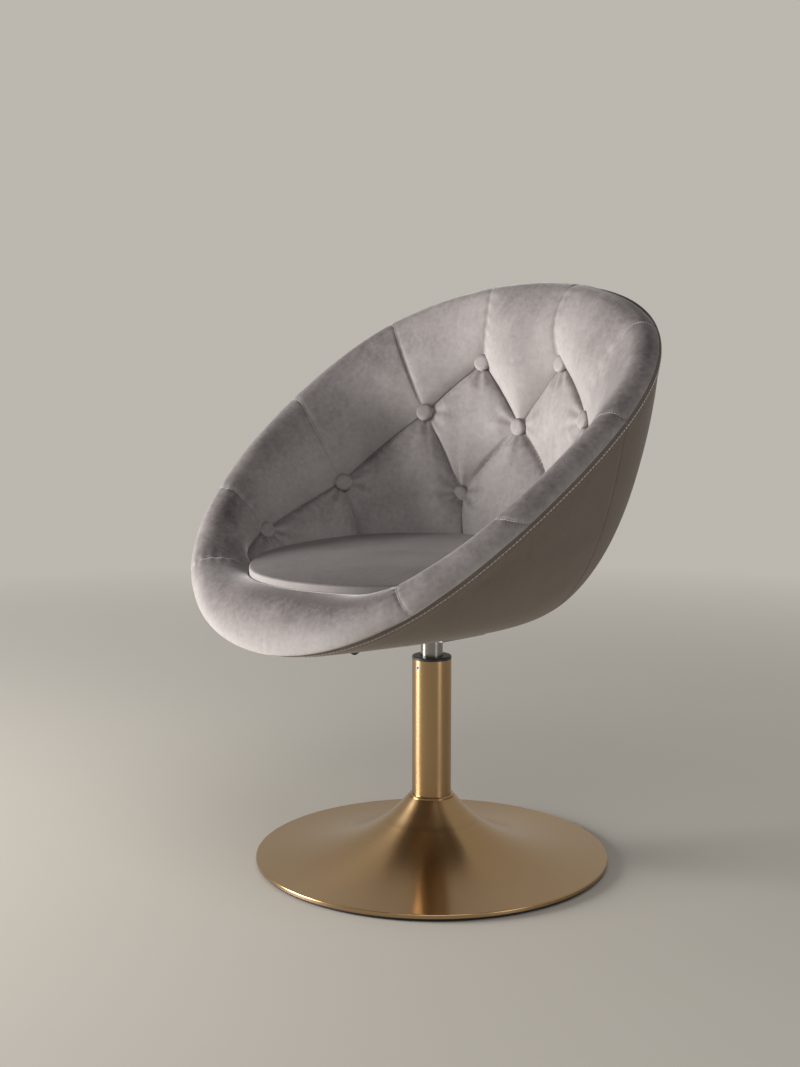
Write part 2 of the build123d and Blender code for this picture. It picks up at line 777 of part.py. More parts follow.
def seam_spots(u, height):
    """Back and front points of a lining panel's edge that shows at a height."""
    depth = between(SEAM_DEPTHS, height)
    wall, inward = wall_place(u, height, depth)
    front = wall + inward * (depth * (1 + (spread(u) - 1) * abs(inward.X)))
    return wall + inward * BACK_GAP, front


def foot_spots(u, height):
    """Back and front points of a panel's foot beside the cushion."""
    front = Vector(seat_reach(u) + CUSHION_ROOM, height)
    wall, inward = wall_nearest(u, front)
    return wall + inward * BACK_GAP, front


def roll_foot(u, offset):
    """Back and front points of the roll's lower edge: the button line, and the cushion in front."""
    seam = seam_spots(u, line_height(BUTTON_LINE, u) + offset)
    foot = foot_spots(u, ROLL_FOOT_Z + offset)
    share = (BUTTON_ANGLES[0] - abs(u)) / (BUTTON_ANGLES[0] - FRONT_SEAM)
    share = min(max(share, 0.0), 1.0)
    return [a + (b - a) * share for a, b in zip(seam, foot)]


def bulged(start, end, amount):
    """Middle of an arc that swells towards the seat."""
    chord = end - start
    swell = min(amount, 0.4 * chord.length)
    return start + chord * 0.5 + Vector(chord.Y, -chord.X).normalized() * swell


def roll_crest(u, foot, swell, turn):
    """Where the round of the roll ends, so that an arc of a given turn runs on to its foot."""
    low, high = piping_angle(u) + 5, 170.0
    for _ in range(30):
        middle = (low + high) / 2
        crest = roll_point(u, middle, swell)
        run = crest - roll_point(u, middle - 1, swell)
        chord = foot - crest
        bend = atan2(run.X * chord.Y - run.Y * chord.X, run.dot(chord))
        if degrees(bend) > turn:
            low = middle
        else:
            high = middle
    return low


def roll_section(u, fullness):
    """Roll over the shell's top edge, from the piping to its lower edge."""
    controls = wall_controls(u, SHELL_INSIDE)
    top = wall_controls(u, 0)[0]
    lift = (top - wall_controls(u, 0)[1]).normalized() * ROLL_SEAT_GAP
    swell = (SEAM_DRAW + (1 - SEAM_DRAW) * fullness) * (1 + FRONT_SWELL * front_share(u))
    back, front = roll_foot(u, SEAM_GAP / 2)
    turn = ROLL_SEAM_TURN + (ROLL_FULL_TURN - ROLL_SEAM_TURN) * fullness
    crest_angle = roll_crest(u, front, swell, turn)
    crest = roll_point(u, crest_angle, swell)
    shoulder = roll_point(u, (piping_angle(u) + crest_angle) / 2, swell)
    inner_top = controls[0] + curve_inward(controls, 0.02) * BACK_GAP
    corners = [top + lift, crest, front, back, inner_top + lift]
    puff = (front - crest).length / 2 * tan(radians(turn) / 2)
    arcs = {0: shoulder, 1: bulged(crest, front, puff)}
    return section_wire(u, corners, arcs)


def roll_panel(first, last, count, ruled=False):
    """One sewn panel of the roll, drawn in at its two seams."""
    sections = []
    for k, u in enumerate(steps_between(first, last, count)):
        sections.append(roll_section(u, sin(pi * k / count)))
    return Solid.make_loft(sections, ruled)


def lining_section(u, low, high, fullness):
    """Padding between two seams, or a seam and the cushion, with a swelled front."""
    low_back, low_front = low
    high_back, high_front = high
    puff = LINING_PUFF * (LINING_SEAM_PUFF + (1 - LINING_SEAM_PUFF) * fullness)
    reach_up = (high_front - low_front).length
    arcs = {0: bulged(high_front, low_front, min(puff, LINING_PUFF_SHARE * reach_up))}
    return section_wire(u, [high_front, low_front, low_back, high_back], arcs)


def lining_panel(angles, low_line, high_line):
    """One sewn panel of the lining; without a line it runs to the cushion or the roll."""
    count = len(angles) - 1
    sections = []
    for k, u in enumerate(angles):
        low = foot_spots(u, LINING_FOOT_Z)
        high = roll_foot(u, -SEAM_GAP / 2)
        if low_line:
            low = seam_spots(u, line_height(low_line, u) + SEAM_GAP / 2)
        if high_line:
            high = seam_spots(u, line_height(high_line, u) - SEAM_GAP / 2)
        sections.append(lining_section(u, low, high, sin(pi * k / count) ** 2))
    return Solid.make_loft(sections, True)


LOWER_TOP_LINE = [
    *zip(BUTTON_ANGLES[:3], BUTTON_HEIGHTS[:3]),
    *LOWER_LINE[1:],
]
SEAM_TIP = 1.6


def tuft_point(u, height):
    return place(u, seam_spots(u, height)[1])


def button_solid(u, height, lift):
    """Covered button: a short round edge under a dome, square to the lining."""
    across = tuft_point(u + 1, height) - tuft_point(u - 1, height)
    upward = tuft_point(u, height + 1) - tuft_point(u, height - 1)
    axis = upward.cross(across).normalized()
    base = tuft_point(u, height) + axis * lift
    crown = BUTTON_EDGE + BUTTON_DOME
    dome_radius = (BUTTON_RADIUS**2 + BUTTON_DOME**2) / (2 * BUTTON_DOME)
    dome = Pos(0, 0, crown - dome_radius) * Sphere(dome_radius)
    return Plane(base, z_dir=axis) * (dome & Pos(0, 0, crown / 2) * Cylinder(BUTTON_RADIUS, crown))


def tuft_buttons():
    """Buttons where the seams meet, each lifted clear of the swelled panels round it."""
    side = list(zip(BUTTON_ANGLES, BUTTON_HEIGHTS, BUTTON_LIFTS))
    side.append((LOWER_BUTTON_ANGLE, LOWER_BUTTON_HEIGHT, LOWER_BUTTON_LIFT))
    places = side + [(-u, height, lift) for u, height, lift in side]
    places.append((180.0, CENTRE_BUTTON_HEIGHT, CENTRE_BUTTON_LIFT))
    return Compound(children=[button_solid(*place) for place in places])


# Seat

def seat_half_width(y):
    """Half width of the cushion's outline at a depth along Y."""
    run = y - CUSHION_CENTRE_Y
    depth = CUSHION_FRONT if run < 0 else CUSHION_BACK
    return CUSHION_HALF_WIDTH * sqrt(1 - (run / depth) ** 2)


def cushion_slice(y, share):
    """Section of the cushion across the seat: flat below, drawn-in sides and a crown."""
    middle = CUSHION_BOTTOM_Z + CUSHION_EDGE / 2
    half = seat_half_width(y)
    low, high = CUSHION_BOTTOM_Z, CUSHION_BOTTOM_Z + CUSHION_EDGE
    draw = min(CUSHION_DRAW, half / 3)
    crown = CUSHION_CROWN * share
    corners = [
        Vector(-half + draw, y, low),
        Vector(half - draw, y, low),
        Vector(half - draw, y, high),
        Vector(-half + draw, y, high),
    ]
    return Wire([
        Edge.make_line(corners[0], corners[1]),
        Edge.make_three_point_arc(corners[1], Vector(half, y, middle), corners[2]),
        Edge.make_three_point_arc(corners[2], Vector(0, y, high + crown), corners[3]),
        Edge.make_three_point_arc(corners[3], Vector(-half, y, middle), corners[0]),
    ])


def seat_cushion():
    front = CUSHION_CENTRE_Y - CUSHION_FRONT
    back = CUSHION_CENTRE_Y + CUSHION_BACK
    slices = []
    for k in range(CUSHION_SLICES):
        turn = pi * (k + 0.35) / (CUSHION_SLICES - 0.3)
        y = (front + back) / 2 - (back - front) / 2 * cos(turn)
        slices.append(cushion_slice(y, sin(turn) + 0.05))
    return Solid.make_loft(slices)


def shell_height(u, radius):
    """Height of the shell's inner face at a distance from the column."""
    controls = wall_controls(u, SHELL_INSIDE)
    target = reach(u, radius)
    low, high = 0.0, 1.0
    for _ in range(30):
        middle = (low + high) / 2
        if curve_point(controls, middle).X > target:
            low = middle
        else:
            high = middle
    return curve_point(controls, low).Y


BOARD_LOW_Z = max(shell_height(15.0 * k, BOARD_RADIUS) for k in range(13)) + 2 * SOFT_GAP
BOARD_TOP_Z = BOARD_LOW_Z + BOARD_THICKNESS


def seat_board():
    """Plywood disc on the shell's bottom, with a plug in its hole and a pocket for the lever."""
    plug = ring(0, BUCKET_HOLE_RADIUS - 2 * SOFT_GAP, BUCKET_BOTTOM_Z, BOARD_LOW_Z)
    board = plug + ring(0, BOARD_RADIUS, BOARD_LOW_Z, BOARD_TOP_Z)
    board -= ring(0, BOARD_POCKET_RADIUS, BUCKET_BOTTOM_Z, BOARD_TOP_Z - BOARD_POCKET_ROOF)
    for x, y in bolt_places():
        hole = BOLT_RADIUS + TEE_NUT_WALL + 2 * SEAT_FIT
        board -= rod((x, y, BUCKET_BOTTOM_Z), (x, y, BOARD_TOP_Z), hole)
    return board


def tee_nuts():
    nuts = []
    bore = BOLT_RADIUS + SEAT_FIT
    for x, y in bolt_places():
        barrel = ring(bore, bore + TEE_NUT_WALL, BOARD_LOW_Z, BOARD_TOP_Z)
        flange = ring(bore, TEE_NUT_RADIUS, BOARD_TOP_Z, BOARD_TOP_Z + TEE_NUT_FLANGE)
        nuts.append(Pos(x, y) * (barrel + flange))
    return Compound(children=nuts)


def seat_bolts():
    bolts = []
    low = PLATE_TOP - PLATE_SHEET
    for x, y in bolt_places():
        shank = rod((x, y, low), (x, y, BOARD_TOP_Z), BOLT_RADIUS)
        head = Pos(x, y, low - BOLT_HEAD_HEIGHT) * extrude(
            RegularPolygon(BOLT_HEAD_RADIUS, 6), BOLT_HEAD_HEIGHT
        )
        bolts.append(shank + head)
    return Compound(children=bolts)


def pad_outline(height):
    """Closed outline of the seat's pad at a height, inside the cushion's outline and the shell."""
    spots = []
    for k in range(24):
        u = 15.0 * k - 180
        controls = wall_controls(u, SHELL_INSIDE)
        wall = [curve_point(controls, s / 100) for s in range(100)]
        room = min((spot.X for spot in wall if spot.Y > height), default=seat_reach(u))
        spots.append(place(u, Vector(min(room, seat_reach(u)) - PAD_INSET * spread(u), height)))
    return Wire([Edge.make_spline(spots, periodic=True)])


def seat_pad():
    low = BOARD_TOP_Z + TEE_NUT_FLANGE + SOFT_GAP
    high = CUSHION_BOTTOM_Z - SOFT_GAP
    return Solid.make_loft([pad_outline(low), pad_outline(high)], True)


# Nodes

os.makedirs("parts", exist_ok=True)

save("floor_ring", floor_ring())
save("foot_plate", foot_plate())
save("foot_weight", foot_weight())
save("foot_cover", foot_cover())
save("foot_collar", foot_collar())
save("column_socket", column_socket())
save("column_tube", column_tube())
save("column_cap", column_cap())
save("column_set_screw", set_screw())
save("column_end_disc", column_end_disc())
save("guide_sleeve", guide_sleeve())

save("bearing_lower_race", race(DISC_TOP))
save("bearing_upper_race", race(UPPER_RACE_Z))
save("bearing_cage", bearing_cage())
save("bearing_balls", bearing_balls())
save("piston_rod", piston_rod())
save("retaining_clip", retaining_clip())
save("bump_stop", bump_stop())
save("gas_cylinder", gas_cylinder())
save("cylinder_gland", cylinder_gland())
save("release_pin", release_pin())

save("seat_plate", seat_plate())
save("lever_pin", lever_pin())
save("height_lever", height_lever())
save("lever_grip", lever_grip())
save("seat_bolts", seat_bolts())
save("tee_nuts", tee_nuts())
save("seat_board", seat_board())
save("seat_pad", seat_pad())
save("seat_cushion", seat_cushion())

save("bucket_shell", bucket_shell())
save("outer_cover_front", cover_panel(-COVER_SEAM, COVER_SEAM, FRONT_COVER_STEPS))
save("outer_cover_back", cover_panel(COVER_SEAM, 360 - COVER_SEAM, BACK_COVER_STEPS))

save("roll_front", roll_panel(-FRONT_SEAM, FRONT_SEAM, 4))
save("roll_back", roll_panel(BUTTON_ANGLES[3], 360 - BUTTON_ANGLES[3], 10, ruled=True))
seams = (FRONT_SEAM, *BUTTON_ANGLES)
for number, (first, last) in enumerate(zip(seams, seams[1:]), start=1):
    panel = roll_panel(first, last, 2)
    save(f"roll_left_{number}", panel)
    save(f"roll_right_{number}", panel.mirror(Plane.YZ))

b1, b2, b3, b4 = BUTTON_ANGLES
c1 = LOWER_BUTTON_ANGLE
side_panels = {
    "front": (steps_between(LINING_START, b1, 2) + steps_between(b1, b2, 4)[1:], None, None),
    "rear": (steps_between(b2, b3, 4) + steps_between(b3, c1, 2)[1:], None, LOWER_TOP_LINE),
    "diamond": (
        [b3 + SEAM_TIP, (b3 + c1) / 2, c1, (c1 + b4) / 2, b4, (b4 + 180) / 2, 180 - SEAM_TIP],
        LOWER_LINE,
        None,
    ),
}
for name, (angles, low_line, high_line) in side_panels.items():
    panel = lining_panel(angles, low_line, high_line)
    save(f"lining_left_{name}", panel)
    save(f"lining_right_{name}", panel.mirror(Plane.YZ))
save("lining_back", lining_panel(steps_between(c1, 360 - c1, 8), None, LOWER_LINE))
save("tuft_buttons", tuft_buttons())
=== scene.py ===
import cmath
import json
from math import cos, degrees, pi, radians, sin, sqrt

import bmesh
import bpy
import numpy as np
from mathutils import Matrix, Vector, noise


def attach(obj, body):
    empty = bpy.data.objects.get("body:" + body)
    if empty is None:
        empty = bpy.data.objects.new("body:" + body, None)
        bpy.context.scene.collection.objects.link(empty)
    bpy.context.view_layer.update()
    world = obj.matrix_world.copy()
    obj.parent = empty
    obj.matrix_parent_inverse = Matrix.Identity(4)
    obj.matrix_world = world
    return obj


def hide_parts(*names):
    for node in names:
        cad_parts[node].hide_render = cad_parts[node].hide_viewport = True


bl_info = {
    "name": "Tufted swivel chair",
    "version": (1, 0, 0),
    "blender": (4, 5, 0),
    "location": "View3D > Sidebar > Chair",
    "description": "Dresses the chair's frame with velvet, stitching, brass and steel",
    "category": "Object",
}

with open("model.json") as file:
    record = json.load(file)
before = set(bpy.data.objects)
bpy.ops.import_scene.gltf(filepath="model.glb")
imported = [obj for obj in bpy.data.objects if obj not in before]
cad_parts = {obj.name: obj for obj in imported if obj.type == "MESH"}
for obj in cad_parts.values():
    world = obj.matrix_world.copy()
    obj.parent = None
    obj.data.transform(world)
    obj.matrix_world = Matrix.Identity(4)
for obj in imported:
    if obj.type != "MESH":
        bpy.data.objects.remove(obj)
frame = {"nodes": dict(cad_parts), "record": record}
NODES = frame["nodes"]

SIDES = ("left", "right")
ROLL_NODES = ["roll_front", "roll_back"] + [f"roll_{s}_{k}" for s in SIDES for k in range(1, 5)]
LINING_NODES = ["lining_back"] + [
    f"lining_{s}_{k}" for s in SIDES for k in ("front", "rear", "diamond")
]

# Tuft layout, in metres. Angles go round the rim in degrees, from 0 at the front.
BACK = 180.0
FRONT_SEAM = 39.0
BUTTON_ANGLES = (68.0, 104.0, 142.0, 165.5)
BUTTON_HEIGHTS = (0.412, 0.468, 0.561, 0.631)
ROLL_SEAMS = (FRONT_SEAM, *BUTTON_ANGLES)
PIPING_SEAMS = (41.0, 72.0, 103.0, 138.0, 168.0)
CREST_SEAMS = (36.0, 62.5, 97.0, 134.0, 167.0)
FOOT_SEAMS = (35.5, *BUTTON_ANGLES)
LOWER_BUTTON = (157.0, 0.453)
CENTRE_BUTTON = (BACK, 0.548)
BUTTON_LINE = (*zip(BUTTON_ANGLES, BUTTON_HEIGHTS), CENTRE_BUTTON)
LOWER_LINE = ((BUTTON_ANGLES[2], BUTTON_HEIGHTS[2]), LOWER_BUTTON, CENTRE_BUTTON)
LINING_START = FRONT_SEAM + 3.0
COVER_SEAM = 102.0

# Depth of the padding at a seam, by the height where the seam shows.
SEAM_DEPTHS = ((0.372, 0.014), (0.470, 0.038), (0.555, 0.047), (0.640, 0.033))
BACKING_GAP = 0.0008  # between the shell and the padding's back

MERGE = 2e-5  # points closer than this are one point
MIRROR = np.array([-1, 1, 1])  # takes a point to the other side

# Plain stock by slot: finish, colour, roughness, metal share, grains per metre and grain depth.
STOCK = {
    "steel": ("plated_steel", (0.30, 0.30, 0.31), 0.38, 1.0, 700.0, 0.0002),
    "cast_iron": ("cast_iron", (0.10, 0.10, 0.10), 0.62, 0.6, 400.0, 0.0006),
    "rubber": ("floor_rubber", (0.022, 0.022, 0.022), 0.70, 0.0, 600.0, 0.0004),
    "black_plastic": ("black_plastic", (0.018, 0.018, 0.018), 0.36, 0.0, 800.0, 0.0002),
    "plywood": ("plywood", (0.50, 0.34, 0.20), 0.55, 0.0, 90.0, 0.0005),
    "shell_plastic": ("moulded_shell", (0.07, 0.07, 0.07), 0.50, 0.0, 500.0, 0.0003),
    "foam": ("seat_foam", (0.62, 0.57, 0.42), 0.85, 0.0, 700.0, 0.0008),
}

# Round lamps: name, place, aim, size, power in watts and colour.
LAMPS = (
    ("key", (-1.70, -1.80, 0.72), (0.0, 0.0, 0.45), 1.3, 114.0, (1.0, 0.98, 0.95)),
    ("top", (0.8, -0.7, 2.3), (0.0, 0.0, 0.45), 1.6, 14.0, (1.0, 0.98, 0.96)),
    ("side", (2.2, 0.1, 0.5), (0.0, 0.0, 0.4), 0.9, 6.0, (1.0, 0.97, 0.94)),
)


def size_value(name, default, description):
    """A length that the sidebar shows in scene units."""
    return bpy.props.FloatProperty(
        name=name, description=description, default=default, unit="LENGTH", precision=4
    )


def ratio_value(name, default, description):
    """A plain number in the sidebar."""
    return bpy.props.FloatProperty(name=name, description=description, default=default)


def angle_value(name, default, description):
    """An angle in degrees, kept in radians."""
    return bpy.props.FloatProperty(
        name=name, description=description, default=radians(default), subtype="ANGLE"
    )


def colour_value(name, default, description):
    """A colour with the sidebar's colour picker."""
    return bpy.props.FloatVectorProperty(
        name=name, description=description, default=default, subtype="COLOR", size=3, min=0, max=1
    )


class BucketSizes(bpy.types.PropertyGroup):
    """Rim and walls of the bucket."""

    rim_half_width: size_value("Rim half width", 0.296, "Half of the rim across the arms")
    rim_half_length: size_value("Rim half length", 0.298, "Half of the rim along its slope")
    rim_tilt: angle_value("Rim tilt", 40.1, "Slope of the rim's plane")
    rim_centre_y: size_value("Rim centre Y", -0.030, "Middle of the rim along the seat")
    rim_centre_z: size_value("Rim height", 0.520, "Middle of the rim above the floor")
    rim_egg: ratio_value("Egg share", 0.091, "How much wider the rim is behind its middle")
    rim_square: ratio_value("Square share", 0.093, "How much squarer than an ellipse the rim is")
    rim_sag_two: size_value("Sag, twice round", -0.0039, "Wave of the rim out of its plane")
    rim_sag_three: size_value("Sag, three times round", -0.0052, "Wave of the rim out of its plane")
    roll_radius: size_value("Roll radius", 0.024, "Radius of the padded roll")
    front_swell: ratio_value("Front swell", 0.33, "How much fatter the roll is in front")
    piping_angle: angle_value("Piping angle", 12.0, "Where the piping lies on the roll's outer side")
    piping_swell: ratio_value("Front piping swell", 0.15, "How much further out the front piping lies")
    gather_y: size_value("Gather axis Y", 0.070, "Upright line that every seam points to")
    bottom_z: size_value("Bottom height", 0.318, "Underside of the bucket")
    bottom_radius: size_value("Bottom radius", 0.204, "Corner between the wall and the underside")
    bottom_sag: size_value("Bottom sag", 0.008, "Drop of that corner below the underside's middle")
    hole_radius: size_value("Hole radius", 0.095, "Opening over the seat plate")
    wall_bulge: ratio_value("Wall bulge", 0.08, "Outward swell of the wall")
    front_bulge: ratio_value("Front bulge", 0.05, "Extra swell of the wall in front")
    shell_inside: size_value("Shell depth", 0.0108, "From the cover's outside to the padding's back")


class UpholsterySizes(bpy.types.PropertyGroup):
    """Padding, seams, cushion and buttons."""

    seam_turn: angle_value("Turn at a seam", 29.0, "Bend of the roll's inner slope at a seam")
    full_turn: angle_value("Turn between seams", 34.0, "Bend of the inner slope between seams")
    seam_draw: ratio_value("Seam draw", 0.96, "Share of the roll's radius left at a seam")
    roll_crease: size_value("Roll crease width", 0.022, "How far a roll seam pulls the padding in")
    puff: size_value("Lining puff", 0.0125, "Swell of a lining panel between its seams")
    crease: size_value("Tuft crease width", 0.052, "How far a tuft line pulls the padding in")
    lining_foot_z: size_value("Lining foot", 0.372, "Height where the lining goes behind the cushion")
    roll_foot_z: size_value("Roll foot", 0.379, "Height where the front roll meets the cushion")
    cushion_low: size_value("Cushion underside", 0.371, "Height of the cushion's underside")
    cushion_edge: size_value("Cushion edge", 0.0265, "Thickness of the cushion at its edge")
    cushion_crown: size_value("Cushion crown", 0.007, "Rise of the cushion's middle")
    cushion_round: size_value("Cushion edge radius", 0.0045, "Radius of the cushion's edges")
    cushion_tilt: ratio_value("Cushion tilt", 0.045, "Rise of the cushion's top towards the back")
    cushion_half: size_value("Cushion half width", 0.192, "Half of the cushion across the seat")
    cushion_front: size_value("Cushion front", 0.206, "From the cushion's middle to its front")
    cushion_back: size_value("Cushion back", 0.160, "From the cushion's middle to its back")
    cushion_y: size_value("Cushion centre Y", -0.036, "Middle of the cushion along the seat")
    cushion_room: size_value("Cushion room", 0.0015, "Space between the cushion and the padding")
    button_radius: size_value("Button radius", 0.0118, "Radius of a covered button")
    button_height: size_value("Button height", 0.0052, "Height of a covered button")
    hem_width: size_value("Hem width", 0.013, "Folded band below the piping")
    hem_proud: size_value("Hem proud", 0.0014, "How far the hem stands off the cover")
    piping_radius: size_value("Piping radius", 0.0014, "Radius of the sewn piping")
    hem_pitch: size_value("Hem stitch pitch", 0.0052, "Distance from stitch to stitch on the hem")
    seam_pitch: size_value("Seam stitch pitch", 0.0034, "Distance from stitch to stitch on the roll")


class ChairColours(bpy.types.PropertyGroup):
    """Colours of the finishes."""

    # Pale and dark tones of the inner velvet that the velvet finish blends: partly random brushed patches,
    # partly painted light and shade, paler on side-facing surfaces and darker on top-facing ones.
    velvet_pale_and_lit: colour_value("Velvet, raised pile", (0.500, 0.466, 0.458), "Pile brushed to the light")
    velvet_dark_and_shaded: colour_value("Velvet, laid pile", (0.074, 0.062, 0.063), "Pile brushed away")
    # Pale and dark tones of the outer velvet, blended the same way: random brushed patches, and painted
    # shade that darkens top-facing surfaces.
    outer_pale_and_lit: colour_value("Outer velvet, raised pile", (0.205, 0.172, 0.145), "Back of the bucket")
    outer_dark_and_shaded: colour_value("Outer velvet, laid pile", (0.085, 0.069, 0.056), "Back of the bucket, darker")
    thread: colour_value("Thread", (0.62, 0.58, 0.55), "Sewing thread")
    brass: colour_value("Brass", (0.43, 0.287, 0.150), "Brushed brass of the foot and column")
    # Kept darker than bare steel, so that it stands in for the dark underside that the lift reflects:
    # partly painted shade in the reflection.
    steel: colour_value("Steel", (0.32, 0.31, 0.29), "Bright steel of the gas lift")
    floor: colour_value("Floor", (0.50, 0.475, 0.43), "Studio floor and background")


def between(line, at):
    """Value of a line of (place, value) corners, level before its first."""
    at = max(at, line[0][0])
    for (a0, v0), (a1, v1) in zip(line, line[1:]):
        if a0 <= at <= a1:
            return v0 + (v1 - v0) * (at - a0) / (a1 - a0)
    return line[-1][1]


def halved(low, high, holds, rounds):
    """Last place from low to high where a test still holds."""
    for _ in range(rounds):
        middle = (low + high) / 2
        low, high = (middle, high) if holds(middle) else (low, middle)
    return low


def distances(line):
    """How far along a section line each of its points lies."""
    return np.concatenate([[0], np.cumsum(np.abs(np.diff(line)))])


def at_distances(line, wanted):
    """Points of a section line at distances along it."""
    along = distances(line)
    return np.interp(wanted, along, line.real) + 1j * np.interp(wanted, along, line.imag)


def resample(line, count):
    """Points of a section line, evenly spaced along it."""
    line = np.array(line)
    return at_distances(line, np.linspace(0, distances(line)[-1], count))


class Bucket:
    """Sections of the bucket in upright planes through the gather axis.

    A section point is a complex number: distance from that axis, and height.
    """

    RIM_STEP = 0.5  # degrees each way, for the rim's direction
    ROLL_STEP = 1.0  # degrees back over the roll, for its direction
    CURVE_STEP = 0.01  # share of the wall each way, for the wall's direction
    FRONT_POWER = 4  # how fast what swells in front falls off round the rim
    WALL_END = 0.95  # last share of the wall where a seam may lie
    FOOT_SHARES = [k / 100 for k in range(2, 95)]  # shares of the wall tried behind the cushion
    ROLL_RANGE = (5.0, 170.0)  # the roll's arc ends this far after the piping or later, up to this angle
    ARC_STEPS = 16

    def __init__(self, sizes, soft):
        self.sizes = sizes
        self.soft = soft
        self.kept = {}

    def rim(self, u):
        """Middle of the roll at an angle round the rim."""
        b = self.sizes
        a = radians(u)
        half = b.rim_half_width * (1 - b.rim_egg * cos(a) + b.rim_square * cos(2 * a))
        run = -b.rim_half_length * cos(a)
        sag = b.rim_sag_two * cos(2 * a) + b.rim_sag_three * cos(3 * a)
        y = b.rim_centre_y + run * cos(b.rim_tilt) - sag * sin(b.rim_tilt)
        z = b.rim_centre_z + run * sin(b.rim_tilt) + sag * cos(b.rim_tilt)
        return Vector((half * sin(a), y, z))

    def station(self, u):
        """Outward direction, the rim's section point, the rim's direction and the spread.

        The spread is how much longer a thickness is in a section that isn't square to the rim.
        """
        if u not in self.kept:
            point = self.rim(u)
            flat = Vector((point.x, point.y - self.sizes.gather_y, 0))
            along = (self.rim(u + self.RIM_STEP) - self.rim(u - self.RIM_STEP)).normalized()
            out = flat.normalized()
            square = Vector((along.y, -along.x, 0)).normalized()
            self.kept[u] = (out, complex(flat.length, point.z), along, 1 / abs(out.dot(square)))
        return self.kept[u]

    def place(self, u, spot):
        """A section point in space."""
        out = self.station(u)[0]
        return Vector((out.x * spot.real, self.sizes.gather_y + out.y * spot.real, spot.imag))

    def roll_spot(self, u, psi, swell=1.0):
        """Section point on the roll, psi degrees up from its outer side."""
        out, centre, along, _ = self.station(u)
        a = radians(psi)
        lean = cos(a) * out.dot(along) + sin(a) * along.z
        return centre + cmath.rect(swell * self.sizes.roll_radius / sqrt(1 - lean * lean), a)

    def piping(self, u):
        """Where the piping lies on the roll, in degrees."""
        return degrees(self.sizes.piping_angle - self.sizes.rim_tilt * cos(radians(u)))

    def front(self, u):
        """1 at the front of the rim, falling to 0 at the back."""
        return ((1 + cos(radians(u))) / 2) ** self.FRONT_POWER

    def piping_spot(self, u):
        return self.roll_spot(u, self.piping(u), 1 + self.sizes.piping_swell * self.front(u))

    def reach(self, u, radius):
        """From the gather axis to an upright cylinder round the frame's axis."""
        along = self.sizes.gather_y * self.station(u)[0].y
        return -along + sqrt(radius**2 - self.sizes.gather_y**2 + along**2)

    def seat_reach(self, u):
        """From the gather axis to the cushion's edge, on whichever half-ellipse is met."""
        s = self.soft
        out = self.station(u)[0]
        offset = self.sizes.gather_y - s.cushion_y
        for depth in (s.cushion_front, s.cushion_back):
            a = (out.x / s.cushion_half) ** 2 + (out.y / depth) ** 2
            b = offset * out.y / depth**2
            distance = (sqrt(b * b - a * ((offset / depth) ** 2 - 1)) - b) / a
            if offset + out.y * distance < 0:
                break
        return distance

    def wall(self, u, inset):
        """Bezier points of the wall from the piping to the hole, set in by a thickness."""
        b = self.sizes
        spread = self.station(u)[3]
        top = self.piping_spot(u)
        corner = complex(self.reach(u, b.bottom_radius), b.bottom_z - b.bottom_sag)
        hole = complex(self.reach(u, b.hole_radius), b.bottom_z + inset)
        run = abs(corner - top)
        down = (corner - top) / run
        inward = -1j * down
        thick = inset * (1 + (spread - 1) * abs(inward.real))
        bulge = b.wall_bulge + b.front_bulge * self.front(u)
        middle = top + down * (run / 2) - inward * (bulge * run)
        turn = -down.imag / (1 - down.real)
        inner_corner = corner + complex(-inset * spread * turn, inset)
        return top + inward * thick, middle + inward * thick, inner_corner, hole

    @staticmethod
    def on_curve(controls, s):
        """Point of the wall at a share of its curve."""
        a, b, c, d = controls
        r = 1 - s
        return a * r**3 + b * (3 * s * r * r) + c * (3 * s * s * r) + d * s**3

    def inward(self, controls, s):
        """Direction from the wall into the bucket."""
        step = self.CURVE_STEP
        run = self.on_curve(controls, s + step) - self.on_curve(controls, s - step)
        return -1j * run / abs(run)

    def seam(self, u, height):
        """Back and front of the padding at a seam that shows at a height."""
        depth = between(SEAM_DEPTHS, height)
        controls = self.wall(u, self.sizes.shell_inside)

        def above(share):
            front = self.on_curve(controls, share).imag + self.inward(controls, share).imag * depth
            return front > height

        share = halved(0.0, self.WALL_END, above, rounds=22)
        wall = self.on_curve(controls, share)
        inward = self.inward(controls, share)
        stretch = 1 + (self.station(u)[3] - 1) * abs(inward.real)
        return wall + inward * BACKING_GAP, wall + inward * depth * stretch

    def foot(self, u, height):
        """Back and front of the padding beside the cushion."""
        front = complex(self.seat_reach(u) + self.soft.cushion_room, height)
        controls = self.wall(u, self.sizes.shell_inside)
        best = min(self.FOOT_SHARES, key=lambda s: abs(self.on_curve(controls, s) - front))
        return self.on_curve(controls, best) + self.inward(controls, best) * BACKING_GAP, front

    def roll_foot(self, u):
        """Lower edge of the roll: the button line, and the cushion in front."""
        seam = self.seam(u, between(BUTTON_LINE, u))
        foot = self.foot(u, self.soft.roll_foot_z)
        share = (BUTTON_ANGLES[0] - u) / (BUTTON_ANGLES[0] - FRONT_SEAM)
        share = min(max(share, 0.0), 1.0)
        return [a + (b - a) * share for a, b in zip(seam, foot)]

    def roll_line(self, u, fullness, foot, count):
        """Section of the roll's show side, from the piping over the crest to its lower edge."""
        s = self.soft
        front = foot[1]
        swell = s.seam_draw + (1 - s.seam_draw) * fullness
        swell *= 1 + self.sizes.front_swell * self.front(u)
        turn = s.seam_turn + (s.full_turn - s.seam_turn) * fullness
        first = self.piping(u)

        def bends_more(psi):
            crest = self.roll_spot(u, psi, swell)
            run = crest - self.roll_spot(u, psi - self.ROLL_STEP, swell)
            return cmath.phase((front - crest) / run) > turn

